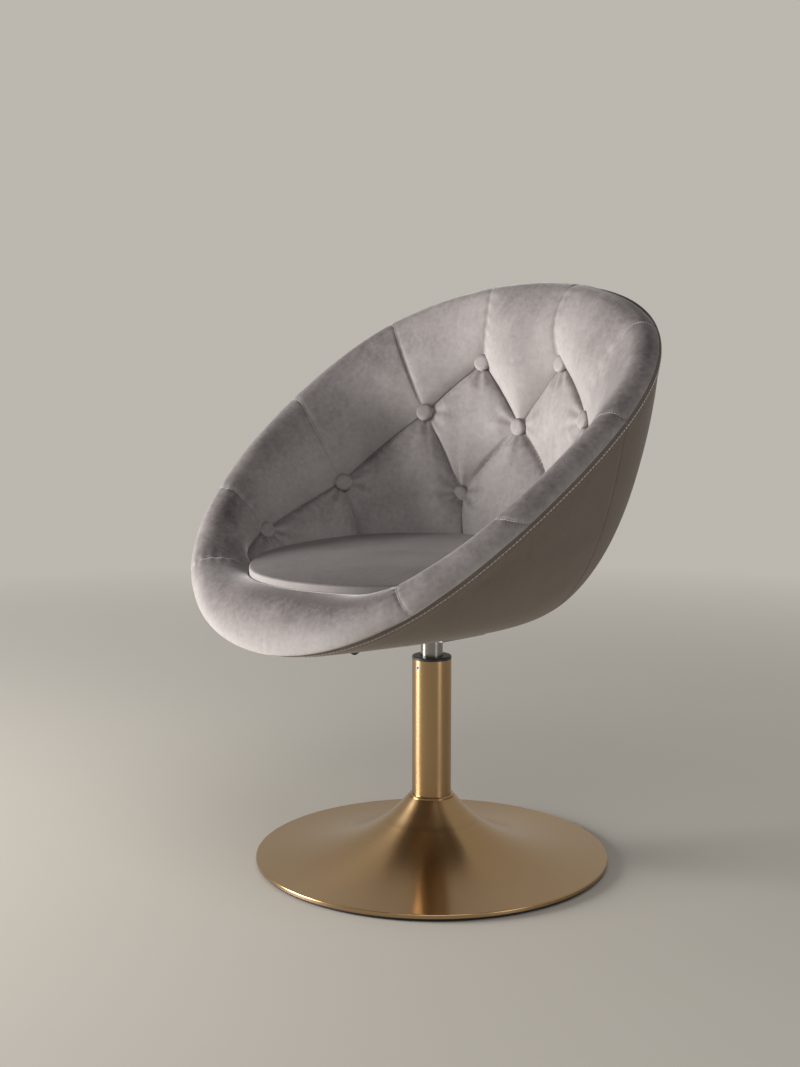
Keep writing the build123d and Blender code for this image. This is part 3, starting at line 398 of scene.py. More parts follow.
        after, most = self.ROLL_RANGE
        last = halved(first + after, most, bends_more, rounds=24)
        steps = self.ARC_STEPS
        line = [self.roll_spot(u, first + (last - first) * k / steps, swell) for k in range(steps + 1)]
        line[0] = self.piping_spot(u)
        crest, chord = line[-1], front - line[-1]
        for k in range(1, steps + 1):
            a = turn * k / steps
            line.append(crest + chord * (sin(a) / sin(turn)) * cmath.exp(-1j * (turn - a)))
        return resample(line, count)

    def lining_line(self, u, top, count):
        """Section of the lining stretched from seam to seam, from the roll to behind the cushion."""
        corners = [top[1], self.foot(u, self.soft.lining_foot_z)[1]]
        if u > BUTTON_ANGLES[2]:
            corners.insert(1, self.seam(u, between(LOWER_LINE, u))[1])
        return resample(corners, count)


def spaced(first, last, pitch):
    """Even steps from first to last, two or more, close to a pitch."""
    return np.linspace(first, last, max(int(round(abs(last - first) / pitch)), 2) + 1)


def column_angles(pitch):
    """Angles from front to back whose columns fall on every seam."""
    knots = sorted([0.0, *ROLL_SEAMS, LOWER_BUTTON[0], BACK])
    angles = [spaced(a, b, pitch)[:-1] for a, b in zip(knots, knots[1:])]
    return np.concatenate([*angles, [BACK]])


def whole_round(half, flip=1):
    """Columns from the back round the other side, times a flip, and along this side to the back.

    The columns at the front and at the back belong to both sides and are there once.
    """
    return np.concatenate([half[:0:-1] * flip, half])[1:]


def skin(name, points, ring=True):
    """A sewn skin: a grid drawn to closed columns of points, and closed round the seat as a ring."""
    points = np.concatenate([points, points[:, :1]], axis=1)
    if ring:
        points = np.concatenate([points, points[:1]])
    columns, rows = points.shape[:2]
    bm = bmesh.new()
    half = 0.5
    bmesh.ops.create_grid(bm, x_segments=columns - 1, y_segments=rows - 1, size=half)
    for vert in bm.verts:
        column = round((vert.co.x + half) * (columns - 1))
        row = round((vert.co.y + half) * (rows - 1))
        vert.co = points[column, row]
    return finished(name, bm)


def turned(side, steps):
    """A side line, drawn at x and z, spun all round the upright axis."""
    bm = bmesh.new()
    verts = [bm.verts.new((x, 0, z)) for x, z in side]
    edges = [bm.edges.new(pair) for pair in zip(verts, verts[1:])]
    bmesh.ops.spin(
        bm, geom=verts + edges, cent=(0, 0, 0), axis=(0, 0, 1), angle=2 * pi, steps=steps, use_merge=True
    )
    return bm


def finished(name, bm, merge=MERGE):
    """Merge doubled points, turn faces outward and make the piece's object."""
    bmesh.ops.remove_doubles(bm, verts=bm.verts, dist=merge)
    bmesh.ops.recalc_face_normals(bm, faces=bm.faces)
    for face in bm.faces:
        face.smooth = True
    mesh = bpy.data.meshes.new(name)
    bm.to_mesh(mesh)
    bm.free()
    piece = bpy.data.objects.new(name, mesh)
    bpy.context.scene.collection.objects.link(piece)
    return piece


def paint(piece, finish):
    piece.data.materials.clear()
    piece.data.materials.append(finish)


def dress(piece, body, finish):
    """Ride a new piece on its body and give it its finish."""
    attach(piece, body)
    paint(piece, finish)


def grid_normals(points):
    """Unit normals of a grid of points that closes on itself along its columns."""
    around = np.roll(points, -1, 0) - np.roll(points, 1, 0)
    down = np.gradient(points, axis=1)
    normal = np.cross(around, down)
    least = 1e-12  # keeps a spot without a direction from dividing by nothing
    return normal / np.maximum(np.linalg.norm(normal, axis=2, keepdims=True), least)


def calmed(points, apart, reach, rounds):
    """Evened out round the seat, fully from a distance off the seams and not at all on them."""
    calm = points
    for _ in range(rounds):
        calm = (np.roll(calm, -1, 0) + 2 * calm + np.roll(calm, 1, 0)) / 4
    return points + (calm - points) * np.clip(apart / reach, 0, 1)[..., None]


def lumps(points, height, scale, seed):
    """Soft unevenness of a padded surface, one height for each point."""
    shift = Vector([seed * part for part in (1.0, 2.3, 3.7)])
    flat = points.reshape(-1, 3)
    values = [noise.noise(Vector(p) * scale + shift) for p in flat]
    return height * np.array(values).reshape(points.shape[:2])


def to_space(bucket, angles, sections):
    """Section lines as points in space, one row of points for each angle."""
    out = np.array([bucket.station(u)[0][:] for u in angles])
    flat = sections.real[:, :, None] * out[:, None, :]
    flat[:, :, 1] += bucket.sizes.gather_y
    flat[:, :, 2] = sections.imag
    return flat


def across_angles(lattice, values, wanted):
    """Values known at even angles, read at other angles for each row."""
    step = lattice[1] - lattice[0]
    inside = 1e-6  # keeps the last angle short of the lattice's end
    at = np.clip(wanted / step, 0, len(lattice) - 1 - inside)
    low = at.astype(int)
    share = (at - low)[..., None]
    rows = np.arange(values.shape[1])[None, :]
    return values[low, rows] * (1 - share) + values[low + 1, rows] * share


class Padding:
    """The sewn padding as grids of points: the roll, the lining and their seams."""

    ROLL_ROWS = 54
    LINING_ROWS = 104
    LATTICE = 181  # number of angles that sections are worked out at
    PITCH = 0.44  # degrees between columns
    CREST = 0.4  # place of the crest between the piping and the roll's foot
    BACK_SHARE = 0.02  # share of the wall that gives the direction of the roll's back edge
    NUDGE = (1.0, 0.001)  # degrees and metres each way, for the direction that a tuft faces
    CREASE = (0.003, 0.75)  # width of the tight crease at a seam, and power of the round beside it
    ROLL_GIRTH = 0.1  # length over the roll, for its puckers
    PUCKER = (0.0005, 0.010, 0.0125)  # height, reach and pitch of the puckers along a roll seam
    GROOVE = (0.0009, 0.0022)  # depth and width of a roll seam
    FOOT_FADE = 0.045  # height over which the swell starts at the lining's foot
    TUFT_PULL = (0.006, 0.026)  # radius held flat by a tuft, and width of the slope round it
    LUMP_START = 0.004  # swell from which the lining's lumps are full
    FOLD = (0.0009, 0.026, 0.017)  # height of a tuft's folds, radius where they peak and their width
    FOLD_COUNT = 9
    FOLD_SHIFT = 40.0  # radians that the folds turn by for each metre across, so that tufts differ
    SEAMS_AT_ONCE = 64  # seam points compared with the lining in one step
    made = {}  # each padding that was worked out, by its sizes

    def __init__(self, context):
        self.soft = context.scene.chair_upholstery
        self.bucket = Bucket(context.scene.chair_bucket, self.soft)
        self.angles = column_angles(self.PITCH)
        self.signed_angles = whole_round(self.angles, -1)
        lattice = np.linspace(0, BACK, self.LATTICE)
        drawn, full, lining, backs, low_backs = [], [], [], [], []
        for u in lattice:
            foot = self.bucket.roll_foot(u)
            drawn.append(self.bucket.roll_line(u, 0.0, foot, self.ROLL_ROWS))
            full.append(self.bucket.roll_line(u, 1.0, foot, self.ROLL_ROWS))
            lining.append(self.bucket.lining_line(u, foot, self.LINING_ROWS))
            controls = self.bucket.wall(u, self.bucket.sizes.shell_inside)
            inward = self.bucket.inward(controls, self.BACK_SHARE)
            backs.append([foot[0], controls[0] + inward * BACKING_GAP])
            low_backs.append([self.bucket.foot(u, self.soft.lining_foot_z)[0], foot[0]])

        def read(sections, wanted):
            return across_angles(lattice, to_space(self.bucket, lattice, np.array(sections)), wanted)

        slanted, upright = self.slanted_angles(), self.angles[:, None]
        self.drawn = read(drawn, slanted)
        self.full = read(full, slanted)
        self.lining = read(lining, upright)
        self.roll_back = read(backs, upright)
        self.lining_back = read(low_backs, upright)

    def slanted_angles(self):
        """Angle of each column at each row of the roll, for seams that bow from piping to foot."""
        knots = (0.0, *ROLL_SEAMS, BACK)
        piping, crest, low = (
            np.interp(self.angles, knots, (0.0, *seams, BACK))[:, None]
            for seams in (PIPING_SEAMS, CREST_SEAMS, FOOT_SEAMS)
        )
        t, m = np.linspace(0, 1, self.ROLL_ROWS)[None, :], self.CREST
        bowed = piping * (t - m) * (t - 1) / m + crest * t * (1 - t) / (m * (1 - m))
        return bowed + low * t * (t - m) / (1 - m)

    @classmethod
    def for_sizes(cls, context):
        """The padding for the sizes now set, worked out once."""
        groups = (context.scene.chair_bucket, context.scene.chair_upholstery)
        key = tuple(getattr(group, name) for group in groups for name in group.__annotations__)
        if key not in cls.made:
            cls.made[key] = cls(context)
        return cls.made[key]

    def column(self, angle):
        """Number of the column at an angle."""
        return int(np.argmin(abs(self.angles - angle)))

    def tuft(self, u, height):
        """Place of a tuft on the seams, and the direction that it faces."""
        turn, rise = self.NUDGE

        def spot(v, z):
            return self.bucket.place(v, self.bucket.seam(v, z)[1])

        across = spot(u + turn, height) - spot(u - turn, height)
        upward = spot(u, height + rise) - spot(u, height - rise)
        return spot(u, height), upward.cross(across).normalized()

    def tufts(self):
        """Every tuft: one side, the other side and the middle."""
        side = [self.tuft(u, z) for u, z in (*BUTTON_LINE[:-1], LOWER_BUTTON)]
        flip = Matrix.Scale(-1, 3, (1, 0, 0))
        return side + [(flip @ p, flip @ n) for p, n in side] + [self.tuft(*CENTRE_BUTTON)]

    def roll_points(self):
        """The roll's show side, drawn in and puckered at its seams."""
        down = np.linspace(0, 1, self.ROLL_ROWS)
        apart = np.full(self.drawn.shape[:2], np.inf)
        for angle in ROLL_SEAMS:
            seam = self.full[self.column(angle)]
            apart = np.minimum(apart, np.linalg.norm(self.full - seam[None], axis=2))
        share = self.pillow(apart, self.soft.roll_crease, sharp=0.45)
        points = self.drawn + (self.full - self.drawn) * share[..., None]
        height, reach, pitch = self.PUCKER
        pucker = height * np.exp(-apart / reach) * np.cos(2 * pi * (down * self.ROLL_GIRTH) / pitch)
        depth, width = self.GROOVE
        pucker -= depth * np.exp(-(apart / width) ** 2)
        whole = whole_round(points, MIRROR)
        inner = np.minimum(whole_round(apart), np.linalg.norm(whole - whole[:, -1:], axis=2))
        whole = calmed(whole, inner, reach=0.035, rounds=160)
        lump = lumps(whole, height=0.0011, scale=16.0, seed=3.0)
        fade = np.sin(pi * down) ** 0.5
        return whole + grid_normals(whole) * ((whole_round(pucker) + lump) * fade)[..., None]

    def pillow(self, apart, width, sharp):
        """Share of the full swell at a distance from a seam: a tight crease, then a broad round."""
        crease, power = self.CREASE
        broad = np.clip(apart / width, 0, 1)
        return sharp * (1 - np.exp(-apart / crease)) + (1 - sharp) * (1 - (1 - broad) ** 2) ** power

    def seam_points(self):
        """Points along the tuft lines of one side of the lining."""
        points = [self.lining[:, 0]]
        rows = np.arange(self.LINING_ROWS)
        for column, u in enumerate(self.angles):
            if u >= BUTTON_ANGLES[2]:
                height = between(LOWER_LINE, u)
                line = self.lining[column]
                row = np.interp(-height, -line[:, 2], rows)
                low = min(int(row), self.LINING_ROWS - 2)
                points.append((line[low] + (line[low + 1] - line[low]) * (row - low))[None])
        points.append(self.lining[self.column(BUTTON_ANGLES[1])])
        lower = self.lining[self.column(LOWER_BUTTON[0])]
        points.append(lower[lower[:, 2] <= LOWER_BUTTON[1]])
        return np.concatenate(points)

    def lining_points(self):
        """The lining's show side: padding swelled between its tuft lines and round its tufts."""
        seams, tufts = self.seam_points(), self.tufts()
        apart = np.full(self.lining.shape[:2], np.inf)
        for start in range(0, len(seams), self.SEAMS_AT_ONCE):
            gaps = self.lining[:, :, None] - seams[None, None, start:start + self.SEAMS_AT_ONCE]
            apart = np.minimum(apart, np.sqrt((gaps**2).sum(3)).min(2))
        swell = self.pillow(apart, self.soft.crease, sharp=0.42)
        foot = np.clip((self.lining[..., 2] - self.soft.lining_foot_z) / self.FOOT_FADE, 0, 1)
        swell *= np.sin(pi / 2 * foot)
        flat, slope = self.TUFT_PULL
        for spot, _ in tufts:
            far = np.linalg.norm(self.lining - np.array(spot), axis=2)
            swell *= np.clip((far - flat) / slope, 0, 1) ** 0.5
        whole = whole_round(self.lining, MIRROR)
        whole = calmed(whole, whole_round(apart), reach=0.025, rounds=60)
        height = whole_round(swell) * self.soft.puff
        lump = lumps(whole, height=0.0012, scale=22.0, seed=7.0)
        height += lump * np.minimum(height / self.LUMP_START, 1)
        for spot, facing in tufts:
            height += self.folds(whole, spot, facing)
        return whole + grid_normals(whole) * height[..., None]

    def folds(self, points, spot, facing):
        """Short folds that run out from a tuft."""
        side = facing.cross(Vector((0, 0, 1))).normalized()
        up = side.cross(facing)
        away = points - np.array(spot)
        far = np.linalg.norm(away, axis=2)
        turn = np.arctan2(away @ np.array(up), away @ np.array(side))
        height, peak, width = self.FOLD
        strength = height * np.exp(-((far - peak) / width) ** 2)
        return strength * np.cos(self.FOLD_COUNT * turn + self.FOLD_SHIFT * spot.x)


class Value:
    """A shader socket that can stand in a Python expression."""

    def __init__(self, finish, socket):
        self.finish = finish
        self.socket = socket

    def math(self, operation, first, second):
        node = self.finish.add("ShaderNodeMath", {"operation": operation}, {0: first, 1: second})
        return Value(self.finish, node.outputs[0])

    def __add__(self, other):
        return self.math("ADD", self, other)

    def __radd__(self, other):
        return self.math("ADD", other, self)

    def __sub__(self, other):
        return self.math("SUBTRACT", self, other)

    def __rsub__(self, other):
        return self.math("SUBTRACT", other, self)

    def __mul__(self, other):
        return self.math("MULTIPLY", self, other)

    def __rmul__(self, other):
        return self.math("MULTIPLY", other, self)

    def __pow__(self, other):
        return self.math("POWER", self, other)

    def larger(self, other):
        return self.math("MAXIMUM", self, other)


class NodeSet:
    """The nodes of a material or of the world."""

    def __init__(self, owner):
        owner.use_nodes = True
        self.tree = owner.node_tree

    def add(self, kind, settings, inputs):
        node = self.tree.nodes.new(kind)
        for key, value in settings.items():
            if key == "stops":
                for stop, (position, shade) in zip(node.color_ramp.elements, value):
                    stop.position = position
                    stop.color = (shade, shade, shade, 1)
            else:
                setattr(node, key, value)
        for key, value in inputs.items():
            self.feed(node, key, value)
        return node

    def feed(self, node, key, value):
        if isinstance(value, Value):
            self.tree.links.new(value.socket, node.inputs[key])
        else:
            node.inputs[key].default_value = value

    def out(self, kind, settings, inputs, socket=0):
        return Value(self, self.add(kind, settings, inputs).outputs[socket])

    def seen(self):
        """1 for rays from the eye, from mirrors and through glass, otherwise 0."""
        path = self.add("ShaderNodeLightPath", {}, {})
        eye, mirror, glass = (
            Value(self, path.outputs[f"Is {kind} Ray"]) for kind in ("Camera", "Glossy", "Transmission")
        )
        return eye.larger(mirror).larger(glass)


class Finish(NodeSet):
    """A material with one main shader, whose even values are set by name."""

    def __init__(self, name, **fixed):
        self.material = bpy.data.materials.new(name)
        super().__init__(self.material)
        self.shader = self.tree.nodes["Principled BSDF"]
        for socket, value in fixed.items():
            self.feed(self.shader, socket.replace("_", " "), value)

    def place(self):
        """Object space."""
        return self.out("ShaderNodeTexCoord", {}, {}, "Object")

    def stretched(self, scale):
        """Object space drawn out along its axes."""
        return self.out("ShaderNodeMapping", {}, {"Vector": self.place(), "Scale": scale})

    def axes(self, vector):
        """The x, y and z of a vector."""
        split = self.add("ShaderNodeSeparateXYZ", {}, {"Vector": vector})
        return [Value(self, socket) for socket in split.outputs]

    def cloud(self, scale, detail, distort=0.0, space=None):
        """Noise in the object's own space, about 0 to 1."""
        inputs = {"Vector": space or self.place(), "Scale": scale, "Detail": detail, "Distortion": distort}
        return self.out("ShaderNodeTexNoise", {}, inputs, "Fac")

    def ramp(self, value, low, high):
        """0 up to the low value, 1 from the high value and even between them."""
        stops = ((low, 0.0), (high, 1.0))
        return self.out("ShaderNodeValToRGB", {"stops": stops}, {"Fac": value}, "Color")

    def blend(self, share, first, second):
        """From the first colour at 0 to the second at 1."""
        inputs = {0: share, 6: (*first, 1), 7: (*second, 1)}
        return self.out("ShaderNodeMix", {"data_type": "RGBA"}, inputs, 2)

    def set(self, socket, value):
        self.feed(self.shader, socket, value)

    def bump(self, height, strength, distance):
        inputs = {"Height": height, "Strength": strength, "Distance": distance}
        self.set("Normal", self.out("ShaderNodeBump", {}, inputs))


def swing(cloud, share):
    """How far a cloud strays from its middle, times a share."""
    return (cloud - 0.5) * share


def from_axis(x, y):
    """Distance from the upright axis."""
    return (x * x + y * y) ** 0.5


def shaded(colour, share):
    """A colour darkened to a share of itself."""
    return [c * share for c in colour]


def velvet(name, light, dark, sheen, top_shade, uneven=1.0):
    """Short pile with brushed patches, and painted shade: darker where the surface faces up, paler on the
    sides.
    """
    finish = Finish(
        name, Sheen_Weight=sheen, Sheen_Roughness=0.35, Sheen_Tint=(1.0, 0.97, 0.96, 1),
        Specular_IOR_Level=0.10,
    )
    facing = finish.out("ShaderNodeTexCoord", {}, {}, "Normal")
    upward = finish.axes(facing)[2]
    patches = finish.cloud(7.5, detail=3.0, distort=0.9)
    marks = finish.cloud(30.0, detail=4.0, distort=1.2, space=finish.stretched((1.0, 1.0, 0.5)))
    mottle = finish.cloud(160.0, detail=3.0)
    pile = finish.cloud(1700.0, detail=1.0)
    stroked = swing(patches, 0.30) + swing(marks, 0.12) + swing(mottle, 0.16)
    # Painted shade: the share of the pale tone falls as the surface faces up, on top of the random brushed
    # patches.
    side_pile_and_shade = 0.53
    pile_and_shade = side_pile_and_shade - upward * top_shade + stroked * uneven
    share = finish.ramp(pile_and_shade + swing(pile, 0.20), low=0.18, high=0.74)
    finish.set("Base Color", finish.blend(share, dark, light))
    finish.set("Roughness", 0.70 + mottle * 0.24)
    finish.bump(pile + mottle * 0.8 + marks * 0.15, strength=0.22, distance=0.0007)
    return finish.material


def brushed(name, colour, rough, grain):
    """Metal turned on a lathe: fine rings round the column's axis."""
    finish = Finish(name, Metallic=1.0, Anisotropic=0.75, Anisotropic_Rotation=0.25)
    x, y, z = finish.axes(finish.place())
    rings = {"W": from_axis(x, y) + z, "Scale": grain, "Detail": 3.0}
    fine = finish.out("ShaderNodeTexNoise", {"noise_dimensions": "1D"}, rings, "Fac")
    broad = finish.cloud(6.0, detail=3.0)
    finish.set("Roughness", rough + fine * 0.05 + broad * 0.05)
    shade = finish.ramp(fine * 0.6 + broad * 0.4, low=0.25, high=0.75)
    finish.set("Base Color", finish.blend(shade, shaded(colour, 0.90), colour))
    finish.bump(fine, strength=0.025, distance=0.0003)
    return finish.material


def plain(name, colour, rough, metallic, grain, depth):
    """Moulded, cast, cut or plated stock with a fine even grain."""
    finish = Finish(name, Metallic=metallic)
    fine = finish.cloud(grain, detail=3.0)
    broad = finish.cloud(grain / 40, detail=2.0)
    finish.set("Base Color", finish.blend(broad, shaded(colour, 0.8), colour))
    finish.set("Roughness", rough + fine * 0.12)
    finish.bump(fine, strength=0.15, distance=depth)
    return finish.material


class CHAIR_OT_upholstery(bpy.types.Operator):
    """Make the padded rim roll and the tufted lining"""

    bl_idname = "chair.upholstery"
    bl_label = "Roll and lining"

    def execute(self, context):
        colours = context.scene.chair_colours
        pad = Padding.for_sizes(context)
        # The number after the sheen sets how much darker top-facing velvet is painted, as painted shade.
        cloth = velvet("velvet_pile", colours.velvet_pale_and_lit, colours.velvet_dark_and_shaded, sheen=0.7, top_shade=0.36)
        back = whole_round(pad.roll_back, MIRROR)
        piece = skin("rim_roll", np.concatenate([pad.roll_points(), back], axis=1))
        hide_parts(*ROLL_NODES)
        dress(piece, "seat", cloth)
        back = whole_round(pad.lining_back, MIRROR)
        loops = np.concatenate([pad.lining_points(), back], axis=1)
        angles = pad.signed_angles
        loops = np.concatenate([loops[angles >= LINING_START], loops[angles <= -LINING_START]])
        caps = [np.tile(end.mean(0), (1, loops.shape[1], 1)) for end in (loops[0], loops[-1])]
        piece = skin("tufted_lining", np.concatenate([caps[0], loops, caps[1]]), ring=False)
        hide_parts(*LINING_NODES)
        dress(piece, "seat", cloth)
        return {"FINISHED"}


class CHAIR_OT_buttons(bpy.types.Operator):
    """Make the covered buttons in the tufts"""

    bl_idname = "chair.buttons"
    bl_label = "Buttons"
    STAND_OFF = 0.0045  # button's edge in front of the seams
    ROUND = (0.6, 0.8)  # powers that flatten the dome's side and top
    STEM = (0.85, 0.0055, 0.0060)  # share of the radius, and depths of its edge and its middle
    DOME_STEPS = 9
    TURN_STEPS = 28

    def execute(self, context):
        soft = context.scene.chair_upholstery
        radius, height = soft.button_radius, soft.button_height
        wide, tall = self.ROUND
        share, edge, middle = self.STEM
        steps = [pi / 2 * k / self.DOME_STEPS for k in range(self.DOME_STEPS + 1)]
        side = [(radius * sin(a) ** wide, height * max(cos(a), 0.0) ** tall) for a in steps]
        side += [(radius * share, -edge), (0, -middle)]
        bm = turned(side, self.TURN_STEPS)
        bmesh.ops.remove_doubles(bm, verts=bm.verts, dist=MERGE)
        one = bpy.data.meshes.new("one_button")
        bm.to_mesh(one)
        bm.clear()
        for spot, facing in Padding.for_sizes(context).tufts():
            count = len(bm.verts)
            bm.from_mesh(one)
            bm.verts.ensure_lookup_table()
            turn = facing.to_track_quat("Z", "Y").to_matrix().to_4x4()
            place = Matrix.Translation(spot + facing * self.STAND_OFF) @ turn
            bmesh.ops.transform(bm, matrix=place, verts=bm.verts[count:])
        bpy.data.meshes.remove(one)
        piece = finished("covered_buttons", bm)
        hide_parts("tuft_buttons")
        dress(piece, "seat", bpy.data.materials["velvet_pile"])
        return {"FINISHED"}


class CHAIR_OT_cushion(bpy.types.Operator):
    """Make the crowned seat cushion"""

    bl_idname = "chair.cushion"
    bl_label = "Seat cushion"
    UNDER_STEPS = 12
    CURL_STEPS = 8
    CROWN_STEPS = 30
    TURN_STEPS = 240
    CROWN_POWER = 3
    LUMP = (0.0014, 11, 1.7)  # height, lumps per metre and seed

    def execute(self, context):
        soft = context.scene.chair_upholstery
        curl = soft.cushion_round
        flat = 1 - curl / soft.cushion_half
        low, high = soft.cushion_low, soft.cushion_low + soft.cushion_edge
        side = [(flat * k / self.UNDER_STEPS, low) for k in range(self.UNDER_STEPS)]
        for middle, first in ((low + curl, -pi / 2), (high - curl, 0.0)):
            for k in range(self.CURL_STEPS + 1):
                a = first + pi / 2 * k / self.CURL_STEPS
                side.append((flat + (1 - flat) * cos(a), middle + curl * sin(a)))
        for k in range(1, self.CROWN_STEPS + 1):
            across = 1 - k / self.CROWN_STEPS
            rise = soft.cushion_crown * (1 - across**self.CROWN_POWER)
            side.append((flat * across, high + rise))
        bm = turned(side, self.TURN_STEPS)
        height, scale, seed = self.LUMP
        for vert in bm.verts:
            depth = soft.cushion_front if vert.co.y < 0 else soft.cushion_back
            x = vert.co.x * soft.cushion_half
            y = vert.co.y * depth + soft.cushion_y
            rise = (vert.co.z - soft.cushion_low) / soft.cushion_edge
            lean = soft.cushion_tilt * (y - soft.cushion_y)
            lean += height * noise.noise(Vector((x * scale, y * scale, seed)))
            vert.co = (x, y, vert.co.z + lean * min(rise, 1.0))
        piece = finished("seat_pad_cover", bm)
        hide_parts("seat_cushion")
        colours = context.scene.chair_colours
        # The number after the sheen sets how much darker the cushion's top is painted, as painted shade.
        cloth = velvet(
            "cushion_pile", colours.velvet_pale_and_lit, colours.velvet_dark_and_shaded, sheen=0.14, top_shade=0.31, uneven=0.4
        )
        dress(piece, "seat", cloth)
        return {"FINISHED"}


class CHAIR_OT_cover(bpy.types.Operator):
    """Make the outer cover with its hem, and the piping round the rim"""

    bl_idname = "chair.cover"
    bl_label = "Outer cover and piping"
    NEAR_SEAM = np.array([-1.6, -1.0, -0.6, -0.3, 0.0, 0.3, 0.6, 1.0, 1.6])  # columns, in degrees
    PITCH = 1.0  # degrees between the other columns
    # Rows of the hem, by their distance from the piping.
    HEM = np.array([0.0, 0.001, 0.003, 0.006, 0.0095, 0.0122, 0.0129, 0.0134, 0.016])
    WALL_ROWS = 45  # rows from the hem to the hole
    CURVE_STEPS = 200
    GROOVE = (0.0013, 0.45)  # depth of the cover's seam, and its width in degrees
    THICKNESS = 0.0024
    INSIDE_STEP = 4  # outside rows for each row of the inside
    PIPING_OUT = 0.5  # place of the piping past the edge, in steps of the first row
    PIPING_SIDES = 10

    def execute(self, context):
        colours = context.scene.chair_colours
        soft = context.scene.chair_upholstery
        bucket = Bucket(context.scene.chair_bucket, soft)
        near = COVER_SEAM + self.NEAR_SEAM
        ahead, behind = spaced(0, near[0], self.PITCH)[:-1], spaced(near[-1], BACK, self.PITCH)[1:]
        half = np.concatenate([ahead, near, behind])
        depth, width = self.GROOVE
        loops, piping = [], []
        for u in half:
            controls = bucket.wall(u, 0.0)
            steps = [k / self.CURVE_STEPS for k in range(self.CURVE_STEPS + 1)]
            fine = np.array([bucket.on_curve(controls, s) for s in steps])
            below = np.linspace(self.HEM[-1], distances(fine)[-1], self.WALL_ROWS + 1)[1:]
            reach = np.concatenate([self.HEM, below])
            line = at_distances(fine, reach)
            out = 1j * np.gradient(line) / np.abs(np.gradient(line))
            proud = np.where(reach < soft.hem_width, soft.hem_proud, 0.0)
            proud[0] = 0.0
            groove = depth * np.exp(-((u - COVER_SEAM) / width) ** 2)
            line = line + out * (proud - groove)
            inside = (line - out * self.THICKNESS)[::-self.INSIDE_STEP]
            loops.append(np.concatenate([line, inside]))
            piping.append(line[0] + (line[0] - line[1]) * self.PIPING_OUT)
        whole = whole_round(to_space(bucket, half, np.array(loops)), MIRROR)
        lump = lumps(whole, height=0.00128, scale=9.0, seed=5.0)
        lump[:, :len(self.HEM)] = 0
        lump[:, len(self.HEM) + self.WALL_ROWS:] = 0
        whole = whole + grid_normals(whole) * lump[..., None]
        # The number after the sheen sets how much darker top-facing outer velvet is painted, as painted
        # shade.
        cloth = velvet("outer_velvet_pile", colours.outer_pale_and_lit, colours.outer_dark_and_shaded, sheen=0.35, top_shade=0.30)
        piece = skin("outer_cover", whole)
        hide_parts("outer_cover_front", "outer_cover_back")
        dress(piece, "seat", cloth)
        centre = np.array(piping)
        turns = [2 * pi * k / self.PIPING_SIDES for k in range(self.PIPING_SIDES)]
        tube = [centre + cmath.rect(soft.piping_radius, turn) for turn in turns]
        whole = whole_round(to_space(bucket, half, np.array(tube).T), MIRROR)
        piece = skin("rim_piping", whole)
        dress(piece, "seat", cloth)
        return {"FINISHED"}


class CHAIR_OT_stitching(bpy.types.Operator):
    """Sew the hem and the seams of the roll"""

    bl_idname = "chair.stitching"
    bl_label = "Stitching"
    HEM_STEPS = 720  # points of the hem's line round the rim
    HEM_DROP = 0.0040  # hem's stitches below the piping
    HEM_RADIUS = 0.0006
    HEM_STAND_OFF = 0.0002
    SEAM_RADIUS = 0.00034
    SEAM_STAND_OFF = 0.0004
    SEAM_ROWS = slice(2, -8)  # rows of the roll that a seam's stitches show on
    STITCH_SHARE = 0.42  # half of a stitch as a share of the pitch
    AHEAD = 0.0015  # look ahead for a stitch's direction
    SAME_POINT = 1e-7

    def execute(self, context):
        soft = context.scene.chair_upholstery
        pad = Padding.for_sizes(context)
        bucket = pad.bucket
        bm = bmesh.new()
        hem = []
        proud = soft.hem_proud + self.HEM_STAND_OFF
        for u in np.linspace(0, 2 * BACK, self.HEM_STEPS + 1)[:-1]:
            controls = bucket.wall(u, 0.0)
            first_speed = 3 * abs(controls[1] - controls[0])
            s = self.HEM_DROP / first_speed
            out = -bucket.inward(controls, s)
            hem.append(bucket.place(u, bucket.on_curve(controls, s) + out * proud))
        self.sew(bm, np.array(hem + hem[:1]), soft.hem_pitch, self.HEM_RADIUS)
        roll = pad.roll_points()
        normals = grid_normals(roll)
        for angle in ROLL_SEAMS:
            for turn in (angle, -angle):
                column = int(np.argmin(abs(pad.signed_angles - turn)))
                line = roll[column] + normals[column] * self.SEAM_STAND_OFF
                self.sew(bm, line[self.SEAM_ROWS], soft.seam_pitch, self.SEAM_RADIUS)
        piece = finished("seam_stitching", bm, self.SAME_POINT)
        colour = context.scene.chair_colours.thread
        thread = plain("thread", colour, rough=0.7, metallic=0.0, grain=900.0, depth=0.0002)
        dress(piece, "seat", thread)
        return {"FINISHED"}

    def sew(self, bm, points, pitch, radius):
        """Short stitches along a line of points."""
        along = np.concatenate([[0], np.cumsum(np.linalg.norm(np.diff(points, axis=0), axis=1))])
        for at in np.arange(pitch / 2, along[-1], pitch):
            middle, ahead = (
                Vector([np.interp(a, along, points[:, k]) for k in range(3)])
                for a in (at, at + self.AHEAD)
            )
            turn = (ahead - middle).to_track_quat("Z", "Y").to_matrix().to_4x4()
            shape = Matrix.Diagonal((radius, radius, pitch * self.STITCH_SHARE, 1))
            bmesh.ops.create_uvsphere(
                bm, u_segments=6, v_segments=4, radius=1.0,
                matrix=Matrix.Translation(middle) @ turn @ shape,
            )


